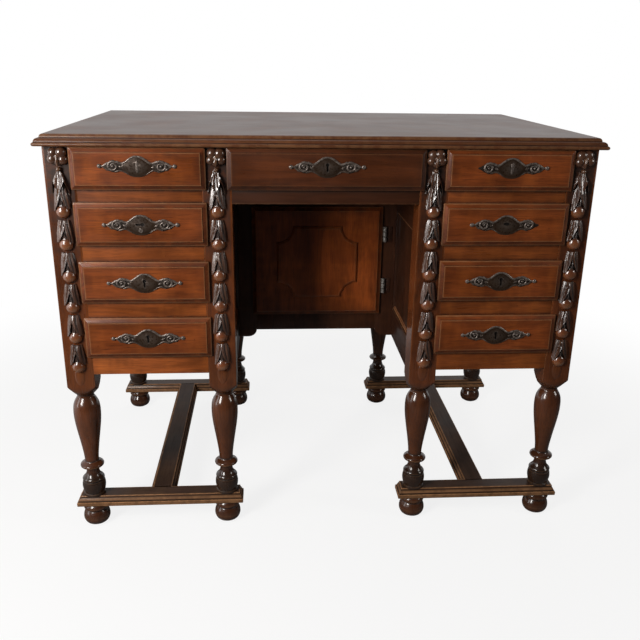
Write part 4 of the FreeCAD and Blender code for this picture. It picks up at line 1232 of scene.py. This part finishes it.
def plate_shape(tips, kind):
    """A cast keyhole plate: domed shield, scrolled wings, bead tips. It stands on y = 0, towards -y."""
    shape = Shape()
    shield = by_angle(mirrored_line(smooth_line(SHIELD_EDGE, 8)))
    keyhole = keyhole_points("upright" if kind == "covered" else kind)
    rings = [facing_ring(PLATE_HEART + (line - PLATE_HEART) * row[0], -row[1])
             for line, rows in ((shield, SHIELD_DOME), (keyhole, KEYHOLE_RIM)) for row in rows]
    shape.loft(rings, **marks_of_rows(SHIELD_DOME + KEYHOLE_RIM))
    if kind == "across":
        curl = spiral((0.6, -9.2), math.radians(100), 1.2, 3.8, 1.2, 24)
        tube(shape, curl + np.array([0.0, -2.2, 0.0]), np.linspace(1.3, 0.8, 24), 8, 0.7, wear=0.8)
    if kind == "covered":
        bar = smooth_line([(0.2, -2.6, 10.4), (0.5, -2.8, 4.0), (0.5, -2.8, -3.0), (0.3, -2.6, -9.6)], 5)
        thick = np.interp(np.linspace(0, 1, len(bar)), (0, 0.1, 0.9, 1), (0.8, 2.6, 2.4, 0.7))
        tube(shape, bar, thick, 10, 0.3, wear=0.7)
    for side, whole in zip((-1, 1), tips):
        wing(shape, side, whole)
    return shape


# Scrolls and leaves of a wing: points (along, up), thicknesses along them, height over width, wear; the
# upper bars wear more than the lower ones, partly real rubbing and partly a painted highlight from above
WING_BARS = (
    (((0.0, 17.5), (4.6, 16.7), (9.6, 14.5), (14.6, 11.1), (19.4, 7.5), (24.4, 5.4), (29.6, 6.4),
      (34.4, 8.6)), (1.4, 2.0, 1.9, 1.8, 2.2), 0.8, 0.9),
    (((14.6, -13.4), (19.4, -10.4), (24.0, -7.6), (28.4, -6.4), (33.0, -7.4), (38.0, -9.0)),
     (0.4, 1.0, 1.5, 1.8, 1.3), 0.7, 0.35),
    (((47.4, 6.4), (50.8, 4.8), (54.2, 2.6), (58.0, 1.1), (62.0, 1.0)), (1.8, 2.3, 1.7, 1.1), 0.7, 0.9),
    (((46.8, -6.0), (50.6, -4.6), (54.6, -2.2), (58.6, 0.0)), (1.4, 2.2, 1.4, 0.7), 0.65, 0.35),
    (((23.6, -1.6), (27.6, -0.9), (30.6, 1.6)), (0.8, 2.3, 0.7), 0.6, 0.5),
)
# Edge of the flat plate behind a wing, and its middle
WING_EDGE = [(18.0, -8.0), (24.0, -7.4), (29.0, -7.2), (34.0, -8.8), (40.0, -9.8), (46.0, -7.8),
             (51.0, -5.2), (56.0, -2.2), (59.5, -0.6), (59.5, 1.8), (55.0, 3.2), (50.5, 5.8), (46.0, 8.6),
             (40.0, 10.2), (33.5, 8.6), (29.0, 6.4), (24.0, 5.2), (18.0, 7.5)]
WING_MIDDLE = np.array([38.0, 0.0])
# A broken wing ends before this
WING_BREAK = 58.0


def wing(shape, side, whole):
    """One wing of a keyhole plate: back plate, scrolls, leaves and a bead at the tip."""
    def bar(points, thick, rise, worn_and_highlit, depth=0.9):
        line = smooth_line([(x * side, -depth, z) for x, z in points], 5)
        radii = np.interp(np.linspace(0, 1, len(line)), np.linspace(0, 1, len(thick)), thick)
        tube(shape, line, radii, 8, rise, wear=worn_and_highlit)

    flat = smooth_line(WING_EDGE + WING_EDGE[:1], 4)[:-1]
    rings = [facing_ring((WING_MIDDLE + (flat - WING_MIDDLE) * size) * np.array([side, 1]), -rise)
             for size, rise in ((1.0, 0.0), (1.0, 0.6), (0.94, 0.95))]
    shape.loft(rings, grime=[0.9, 0.5, 0.6])
    for points, thick, rise, worn_and_highlit in WING_BARS:
        if whole or points[-1][0] < WING_BREAK:
            bar(points, thick, rise, worn_and_highlit)
    curl = spiral((40.6, 0.4), math.radians(132), -1.35, 9.2, 3.4, 42, 1.08)
    bar([(x, z) for x, y, z in curl[::3]], (2.2, 2.0, 1.4), 0.95, 0.8)
    ball(shape, (40.8 * side, -1.5, 0.6), (2.2, 2.0, 2.1), 14, wear=0.9)
    if whole:
        ball(shape, (63.4 * side, -1.3, 1.0), (3.7, 2.3, 3.7), 14, wear=1.0)
        bar([(65.0, 1.0), (66.6, 1.0), (67.8, 0.8)], (1.4, 0.9, 0.3), 0.7, 0.4, 0.7)


# Rubbed bronze, which also paints the highlights on the upper rims
BRONZE_BRIGHT = (0.28, 0.235, 0.21)
# Plates that have lost a tip: whether the left and the right one are whole
WHOLE_TIPS = {"right_drawer_1": (False, True), "right_drawer_2": (True, False)}
# Keyholes other than a plain upright one
KEYHOLE_KINDS = {"left_drawer_1": "covered", "right_drawer_1": "covered", "left_drawer_2": "across",
                 "right_drawer_2": "oval"}


class DESK_OT_keyhole_plates(bpy.types.Operator):
    """Cast keyhole plates"""
    bl_idname = "desk.keyhole_plates"
    bl_label = "Keyhole plates"

    def execute(self, context):
        finish = metal("darkened_bronze", tints().bronze, BRONZE_BRIGHT, 0.3, 0.72)
        for drawer in DRAWERS:
            node = drawer + "_escutcheon"
            low, high = span(node)
            place = np.array([(low[0] + high[0]) / 2, high[1], (low[2] + high[2]) / 2])
            shape = Shape()
            plate = plate_shape(WHOLE_TIPS.get(drawer, (True, True)), KEYHOLE_KINDS.get(drawer, "upright"))
            shape.take(plate, lambda points: points + place)
            piece_of(shape, drawer + "_keyhole_plate", finish, drawer, [node], 45)
        return {"FINISHED"}


# Cupboard in the kneehole

# How far the door laps over its frame, how far its block stays off it, the height of the stiles' feet
DOOR_LAP, DOOR_ROOM, STILE_FOOT = 8.0, 1.5, 16.0
# Hollow of a stile's foot, from its inner edge and its lower end
STILE_HOLLOW = np.array([(0.0, 18.0), (1.4, 11.0), (5.6, 5.0), (12.0, 1.2), (19.0, 0.0)])
# Notched corner of the door's panel, from that corner inwards, and its round part
PANEL_NOTCH, PANEL_STEP = 34.0, 8.0
PANEL_BEND = [(13.5, 31.0), (24.8, 24.8), (31.0, 13.5)]
# Inset and height of the panel's edge, with wear and grime
PANEL_PROFILE = ((0.0, 0.0, 0, 1.0), (0.0, 1.4, 0, 0.3), (0.4, 2.2, 0.5, 0), (1.6, 3.4, 0.2, 0),
                 (3.0, 4.2, 0.1, 0), (3.6, 4.3, 0, 0.6), (3.9, 4.8, 0.4, 0.1), (4.8, 5.0, 0.3, 0),
                 (7.0, 5.0, 0, 0))


class DESK_OT_cupboard(bpy.types.Operator):
    """Cupboard frame, its lipped door and the shaped panel on it"""
    bl_idname = "desk.cupboard"
    bl_label = "Cupboard"

    def execute(self, context):
        low, high = span("cupboard_frame")
        leaf_low, leaf_high = span("door_leaf")
        # The stiles take the darker kneehole wood, partly as painted shade
        stile = wood("polished_shaded_cupboard_wood", tints().shaded, "z", 0.38, 0.15)
        opening = leaf_high[0] - DOOR_LAP
        shape = Shape()
        for side in (-1, 1):
            self.stile(shape, side, opening, high[0], low, high)
        rails = ((low[2] + STILE_FOOT, leaf_low[2] + DOOR_LAP), (leaf_high[2] - DOOR_LAP, high[2]))
        for bottom, top in rails:
            board(shape, (-opening, low[1], bottom), (opening, high[1], top), 0.6, 0.5)
        piece_of(shape, "cupboard_frame_boards", stile, CARCASE, ["cupboard_frame"])
        door = wood("polished_door_wood", tints().door, "z", 0.33, 0.25)
        shape = Shape()
        behind = DOOR_LAP + DOOR_ROOM
        # The door's lips are darkened all round, partly dirt and partly painted shade
        lipped(shape, (leaf_low[0], leaf_high[0], leaf_low[2], leaf_high[2]), leaf_low[1],
               (-opening + DOOR_ROOM, opening - DOOR_ROOM, leaf_low[2] + behind, leaf_high[2] - behind,
                leaf_high[1]), dirt_and_shade=0.6)
        piece_of(shape, "door_leaf_moulded", door, DOOR, ["door_leaf"], 24)
        self.panel(door)
        return {"FINISHED"}

    def stile(self, shape, side, near_x, far_x, low, high):
        """A stile whose lower inner corner is sawn away in a hollow."""
        hollow = smooth_line(STILE_HOLLOW + np.array([near_x, low[2]]), 4)
        edge = np.vstack([hollow, [(far_x, low[2]), (far_x, high[2]), (near_x, high[2])]])
        shape.loft([facing_ring(edge * np.array([side, 1]), depth) for depth in (low[1], high[1])])

    def panel(self, finish):
        """The raised panel, its corners cut in hollow notches."""
        low, high = span("door_panel")
        half_x, half_z = high[0], (high[2] - low[2]) / 2
        centre_z = (high[2] + low[2]) / 2
        notch, step = PANEL_NOTCH, PANEL_STEP
        bend = smooth_line([(half_x - in_x, half_z - in_z)
                            for in_x, in_z in [(step, notch)] + PANEL_BEND + [(notch, step)]], 4)
        corner = [(half_x, half_z - notch)] + [tuple(point) for point in bend] + [(half_x - notch, half_z)]
        line = []
        for sign_x, sign_z in ((1, 1), (-1, 1), (-1, -1), (1, -1)):
            points = corner if sign_x * sign_z > 0 else corner[::-1]
            line += [(x * sign_x, z * sign_z) for x, z in points]
        line = np.array(line)
        way_in = line - np.roll(line, 1, axis=0)
        way_out = np.roll(line, -1, axis=0) - line
        way_in /= np.linalg.norm(way_in, axis=1)[:, None]
        way_out /= np.linalg.norm(way_out, axis=1)[:, None]
        inward = np.column_stack([-(way_in + way_out)[:, 1], (way_in + way_out)[:, 0]])
        inward /= np.linalg.norm(inward, axis=1)[:, None]
        spread = np.sqrt(np.clip((1 + np.sum(way_in * way_out, axis=1)) / 2, 0.35, 1))
        inward /= spread[:, None]
        rings = [facing_ring(line + inward * inset + np.array([0.0, centre_z]), high[1] - rise)
                 for inset, rise, worn_and_highlit, dirty_and_shaded in PANEL_PROFILE]
        shape = Shape()
        shape.loft(rings, **marks_of_rows(PANEL_PROFILE))
        piece_of(shape, "door_panel_shaped", finish, DOOR, ["door_panel"], 28)


# Rubbed iron that paints a highlight down the barrels, and a near-black that darkens the plates as painted
# shade
IRON_BRIGHT, IRON_SHADED_BLACK = (0.58, 0.56, 0.53), (0.05, 0.045, 0.04)
# Axis of the pins seen from above, height of a hinge, heights of its fixed knuckles and of the door's
HINGE_AXIS, HINGE_TALL = (144.8, -64.0), 33.0
FIXED_KNUCKLES, DOOR_KNUCKLE = ((0.0, 10.56), (22.44, 33.0)), (10.96, 22.04)
PIN_RADIUS = 1.6
SCREW_SHARES = (0.2, 0.5, 0.8)


class DESK_OT_hinges(bpy.types.Operator):
    """Barrel hinges of the cupboard door"""
    bl_idname = "desk.hinges"
    bl_label = "Hinges"

    def execute(self, context):
        finish = metal("highlit_rubbed_iron", tints().iron, IRON_BRIGHT, 0.3, 0.9)
        shaded_black = metal("blackened_shaded_iron", tints().shaded, IRON_SHADED_BLACK, 0.5, 0.3)
        fixed_low, fixed_high = span("cupboard_hinge_leaves")
        door_edge = span("door_hinge_leaves")[0][0]
        x, y = HINGE_AXIS
        fixed, moving, places = Shape(), Shape(), []
        fixed_plates, moving_plates = Shape(), Shape()
        for base in (fixed_low[2], fixed_high[2] - HINGE_TALL):
            top = base + HINGE_TALL
            for start, end in FIXED_KNUCKLES:
                self.knuckle(fixed, base + start, base + end)
                board(fixed_plates, (x + 0.4, y + 2.6, base + start), (x + 5.0, y + 4.0, base + end),
                      0.3, 0.0)
            board(fixed_plates, (x + 4.4, y + 2.6, base), (fixed_high[0], y + 4.0, top), 0.4, 0.1)
            places += [(x + 10.2, y + 2.6, base + HINGE_TALL * share) for share in SCREW_SHARES]
            start, end = (base + height for height in DOOR_KNUCKLE)
            self.knuckle(moving, start, end)
            turn(moving, [(PIN_RADIUS, base), (PIN_RADIUS, top)], (x, y, 0.0), 20, wear=0.4)
            board(moving_plates, (door_edge, y - 1.0, start), (x - 1.0, y + 1.0, end), 0.3)
            board(moving_plates, (door_edge, y - 1.3, base), (door_edge + 1.4, y + 3.7, top), 0.3)
        piece_of(fixed_plates, "cupboard_hinge_plates", shaded_black, CARCASE, ["cupboard_hinge_leaves"])
        piece_of(moving_plates, "door_hinge_plates", shaded_black, DOOR, ["door_hinge_leaves"])
        piece_of(fixed, "cupboard_hinge_barrels", finish, CARCASE, ["cupboard_hinge_leaves"])
        piece_of(moving, "door_hinge_barrels", finish, DOOR, ["door_hinge_leaves"])
        mesh = repeat(self.screw(), "hinge_screws", places, shaded_black)
        add_piece(mesh, "hinge_screws", CARCASE, ["cupboard_hinge_leaves"])
        return {"FINISHED"}

    def knuckle(self, shape, bottom, top):
        profile = [(1.75, bottom), (3.3, bottom), (4.0, bottom + 0.7), (4.0, top - 0.7), (3.3, top),
                   (1.75, top)]
        # The barrels are rubbed bright in the middle, partly real wear and partly a painted highlight
        turn(shape, profile, (*HINGE_AXIS, 0.0), 28, ends="join", wear=[0, 0.3, 0.6, 0.6, 0.3, 0],
             grime=[1, 0.4, 0, 0, 0.4, 1])

    def screw(self):
        """A slotted screw head on y = 0, towards -y."""
        radius = sizes().screw / MM
        shape = Shape()
        angles = np.linspace(0, 2 * math.pi, 24, endpoint=False)
        rim = radius * np.column_stack([np.cos(angles), np.sin(angles)])
        rings = [facing_ring(rim * size, -rise)
                 for size, rise in ((1.0, 0.0), (1.0, 0.15), (0.7, 0.5), (0.3, 0.62))]
        shape.loft(rings, wear=[0, 0.1, 0.2, 0.2], grime=[1, 0.2, 0, 0])
        head = len(shape.points)
        board(shape, (-radius * 0.8, -0.68, -0.25), (radius * 0.8, -0.4, 0.25), 0.05)
        # The slot is full of dirt
        slot = len(shape.points) - head
        shape.marks["grime"][head:] = [1.0] * slot
        return shape


# Plain boards that keep their CAD shape

class DESK_OT_plain_boards(bpy.types.Operator):
    """Finish of the boards, runners and drawer boxes that keep their CAD shape"""
    bl_idname = "desk.plain_boards"
    bl_label = "Plain boards"

    def execute(self, context):
        finishes = {"bottom_boards": inner_wood("y"), "cupboard_boards": inner_wood("x"),
                    "drawer_runners": inner_wood("y")}
        finishes.update({drawer + "_box": inner_wood("y") for drawer in DRAWERS})
        for node, finish in finishes.items():
            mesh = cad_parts[node].data
            mesh.materials.clear()
            mesh.materials.append(finish)
        return {"FINISHED"}


# Stage

CAMERA_PLACE = (-0.10169, -1.60900, 0.90528)
CAMERA_YAW, CAMERA_PITCH, CAMERA_ROLL = math.radians(4.07), math.radians(19.38), math.radians(-0.86)
CAMERA_LENS = 41.76
SENSOR_WIDTH = 36.0
FLOOR_HALF = 14.0
# The floor's colour for light that it throws back, not for the camera
FLOOR_UNDER_LIGHT = (0.22, 0.215, 0.21, 1.0)
# How bright the room looks in polished places, towards the camera and away from it
ROOM_DIM, ROOM_BRIGHT = 0.035, 0.74
ROOM_AWAY = (-0.5, 0.87, 0.0)
SKY_TINT = (0.92, 0.95, 1.0, 1.0)
# Lamps: name, place, aim, size, a power of the stage and a share of it, tint
LAMPS = (
    ("window_lamp", (-1.28, -1.5, 1.15), (-0.1, -0.25, 0.5), (0.45, 0.95), "key", 1.0, (1.0, 0.98, 0.95)),
    ("fill_lamp", (2.05, -0.95, 1.2), (0.35, -0.3, 0.45), (0.4, 0.7), "fill", 1.7, (1.0, 0.97, 0.92)),
    ("side_lamp", (-2.2, -0.8, 0.8), (-0.3, -0.2, 0.45), (0.45, 1.4), "key", 0.2, (0.96, 0.98, 1.0)),
    ("top_lamp", (-0.4, 0.7, 2.6), (0.0, 0.1, 0.7), (1.6, 1.0), "fill", 1.6, (1.0, 0.98, 0.96)),
    ("rear_lamp", (1.0, 2.1, 1.6), (0.1, 0.3, 0.45), (0.9, 0.9), "fill", 1.4, (1.0, 0.98, 0.96)),
)
# The lamp that no polish mirrors, since it would whiten the table top
UNMIRRORED_LAMP = "rear_lamp"


class DESK_OT_stage(bpy.types.Operator):
    """Floor, lamps, sky and camera"""
    bl_idname = "desk.stage"
    bl_label = "Stage"

    def execute(self, context):
        scene = context.scene
        scene.view_settings.view_transform = "Standard"
        self.camera(scene)
        self.floor(scene)
        self.sky(scene)
        for name, place, aim, size, power, share, tint in LAMPS:
            self.lamp(scene, name, place, aim, size, getattr(scene.desk_stage, power) * share, tint)
        return {"FINISHED"}

    def camera(self, scene):
        ahead = np.array([math.sin(CAMERA_YAW) * math.cos(CAMERA_PITCH),
                          math.cos(CAMERA_YAW) * math.cos(CAMERA_PITCH), -math.sin(CAMERA_PITCH)])
        level = np.array([math.cos(CAMERA_YAW), -math.sin(CAMERA_YAW), 0.0])
        down = np.cross(ahead, level)
        right = level * math.cos(CAMERA_ROLL) + down * math.sin(CAMERA_ROLL)
        low = -level * math.sin(CAMERA_ROLL) + down * math.cos(CAMERA_ROLL)
        data = bpy.data.cameras.new("photo_camera")
        data.sensor_fit = "HORIZONTAL"
        data.sensor_width = SENSOR_WIDTH
        data.lens = CAMERA_LENS
        camera = bpy.data.objects.new("photo_camera", data)
        matrix = Matrix.Identity(4)
        for column, axis in enumerate((right, -low, -ahead, np.array(CAMERA_PLACE))):
            for row in range(3):
                matrix[row][column] = axis[row]
        camera.matrix_world = matrix
        scene.collection.objects.link(camera)
        scene.camera = camera

    def floor(self, scene):
        mesh = bpy.data.meshes.new("studio_floor")
        corners = [(FLOOR_HALF * x, FLOOR_HALF * y, 0) for x, y in ((-1, -1), (1, -1), (1, 1), (-1, 1))]
        mesh.from_pydata(corners, [], [(0, 1, 2, 3)])
        made = Nodes("pale_floor")
        tint = four(scene.desk_stage.floor)
        path = made.new("LightPath")
        camera = path.outputs["Is Camera Ray"]
        paint = made.mix(camera, FLOOR_UNDER_LIGHT, tint)
        made.shade(Base_Color=paint, Roughness=0.8, Specular_IOR_Level=0.1)
        place = made.place()
        radius = made.new("VectorMath", {"operation": "LENGTH"})
        made.put(radius.inputs[0], place)
        far = made.ramp(radius.outputs["Value"], 0.7, 1.6, 0.84, 1.0)
        beyond = made.ramp(radius.outputs["Value"], 0.6, 1.5)
        axes = made.new("SeparateXYZ", None, Vector=place)
        depth = made.math("SUBTRACT", axes.outputs["Y"], made.math("MULTIPLY", axes.outputs["X"], 0.6))
        mirrored = made.math("MAXIMUM", path.outputs["Is Glossy Ray"], path.outputs["Is Transmission Ray"])
        dim = made.ramp(depth, -0.6, 0.8, ROOM_DIM, ROOM_BRIGHT)
        bright = made.math("MAXIMUM", camera, made.math("MULTIPLY", mirrored, dim))
        share = made.math("MAXIMUM", made.math("MULTIPLY", camera, far),
                          made.math("MULTIPLY", mirrored, beyond))
        glow = made.new("Emission", None, Color=(1, 1, 1, 1), Strength=bright)
        blend = made.new("MixShader", None, Fac=share)
        output = made.tree.nodes["Material Output"]
        made.put(blend.inputs[1], made.shader.outputs[0])
        made.put(blend.inputs[2], glow.outputs[0])
        made.put(output.inputs["Surface"], blend.outputs[0])
        mesh.materials.append(made.material)
        floor = bpy.data.objects.new("studio_floor", mesh)
        scene.collection.objects.link(floor)

    def sky(self, scene):
        world = bpy.data.worlds.new("studio_sky")
        world.use_nodes = True
        tree = world.node_tree
        ground = tree.nodes["Background"]
        ground.inputs["Color"].default_value = SKY_TINT
        ground.inputs["Strength"].default_value = scene.desk_stage.sky
        kinds = {"white": "Background", "path": "LightPath", "blend": "MixShader", "way": "TexCoord",
                 "side": "VectorMath", "dim": "MapRange", "mirror": "Math", "seen": "Math", "bright": "Math",
                 "kept": "Math"}
        step = {label: tree.nodes.new("ShaderNode" + kind) for label, kind in kinds.items()}
        step["white"].inputs["Color"].default_value = (1, 1, 1, 1)
        for name, value in (("From Min", -0.35), ("From Max", 0.45), ("To Min", ROOM_DIM),
                            ("To Max", ROOM_BRIGHT)):
            step["dim"].inputs[name].default_value = value
        for label, operation in (("mirror", "MAXIMUM"), ("seen", "MAXIMUM"), ("bright", "MAXIMUM"),
                                 ("kept", "MULTIPLY")):
            step[label].operation = operation
        step["side"].operation = "DOT_PRODUCT"
        step["side"].inputs[1].default_value = ROOM_AWAY
        links = (("way", "Generated", "side", 0), ("side", "Value", "dim", 0),
                 ("path", "Is Glossy Ray", "mirror", 0), ("path", "Is Transmission Ray", "mirror", 1),
                 ("path", "Is Camera Ray", "seen", 0), ("mirror", 0, "seen", 1), ("mirror", 0, "kept", 0),
                 ("dim", 0, "kept", 1), ("path", "Is Camera Ray", "bright", 0), ("kept", 0, "bright", 1),
                 ("bright", 0, "white", "Strength"), ("seen", 0, "blend", 0), ("white", 0, "blend", 2))
        for start, leaves, end, enters in links:
            tree.links.new(step[start].outputs[leaves], step[end].inputs[enters])
        tree.links.new(ground.outputs[0], step["blend"].inputs[1])
        tree.links.new(step["blend"].outputs[0], tree.nodes["World Output"].inputs["Surface"])
        scene.world = world

    def lamp(self, scene, name, place, aim, size, power, tint):
        data = bpy.data.lights.new(name, "AREA")
        data.shape = "RECTANGLE"
        data.size, data.size_y = size
        data.energy = power
        data.color = tint
        lamp = bpy.data.objects.new(name, data)
        lamp.location = place
        lamp.rotation_euler = (Vector(aim) - Vector(place)).to_track_quat("-Z", "Y").to_euler()
        lamp.visible_camera = False
        lamp.visible_glossy = name != UNMIRRORED_LAMP
        scene.collection.objects.link(lamp)


PIECES = (DESK_OT_stage, DESK_OT_table_top, DESK_OT_legs, DESK_OT_feet, DESK_OT_stretchers, DESK_OT_garlands,
          DESK_OT_rails, DESK_OT_sides, DESK_OT_back, DESK_OT_drawer_fronts, DESK_OT_keyhole_plates,
          DESK_OT_cupboard, DESK_OT_hinges, DESK_OT_plain_boards)


class DESK_PT_pieces(bpy.types.Panel):
    """Makes the desk's pieces one by one"""
    bl_idname = "DESK_PT_pieces"
    bl_label = "Kneehole desk"
    bl_space_type = "VIEW_3D"
    bl_region_type = "UI"
    bl_category = "Desk"

    def draw(self, context):
        for piece in PIECES:
            self.layout.operator(piece.bl_idname)
        for group in (context.scene.desk_sizes, context.scene.desk_colours, context.scene.desk_stage):
            column = self.layout.column()
            for name in group.__annotations__:
                column.prop(group, name)


CLASSES = (DeskSizes, DeskColours, DeskStage) + PIECES + (DESK_PT_pieces,)


def register():
    for item in CLASSES:
        bpy.utils.register_class(item)
    bpy.types.Scene.desk_sizes = bpy.props.PointerProperty(type=DeskSizes)
    bpy.types.Scene.desk_colours = bpy.props.PointerProperty(type=DeskColours)
    bpy.types.Scene.desk_stage = bpy.props.PointerProperty(type=DeskStage)


def unregister():
    del bpy.types.Scene.desk_stage
    del bpy.types.Scene.desk_colours
    del bpy.types.Scene.desk_sizes
    for item in reversed(CLASSES):
        bpy.utils.unregister_class(item)


def main():
    register()
    for piece in PIECES:
        group, name = piece.bl_idname.split(".")
        getattr(getattr(bpy.ops, group), name)()


if __name__ == "__main__":
    main()
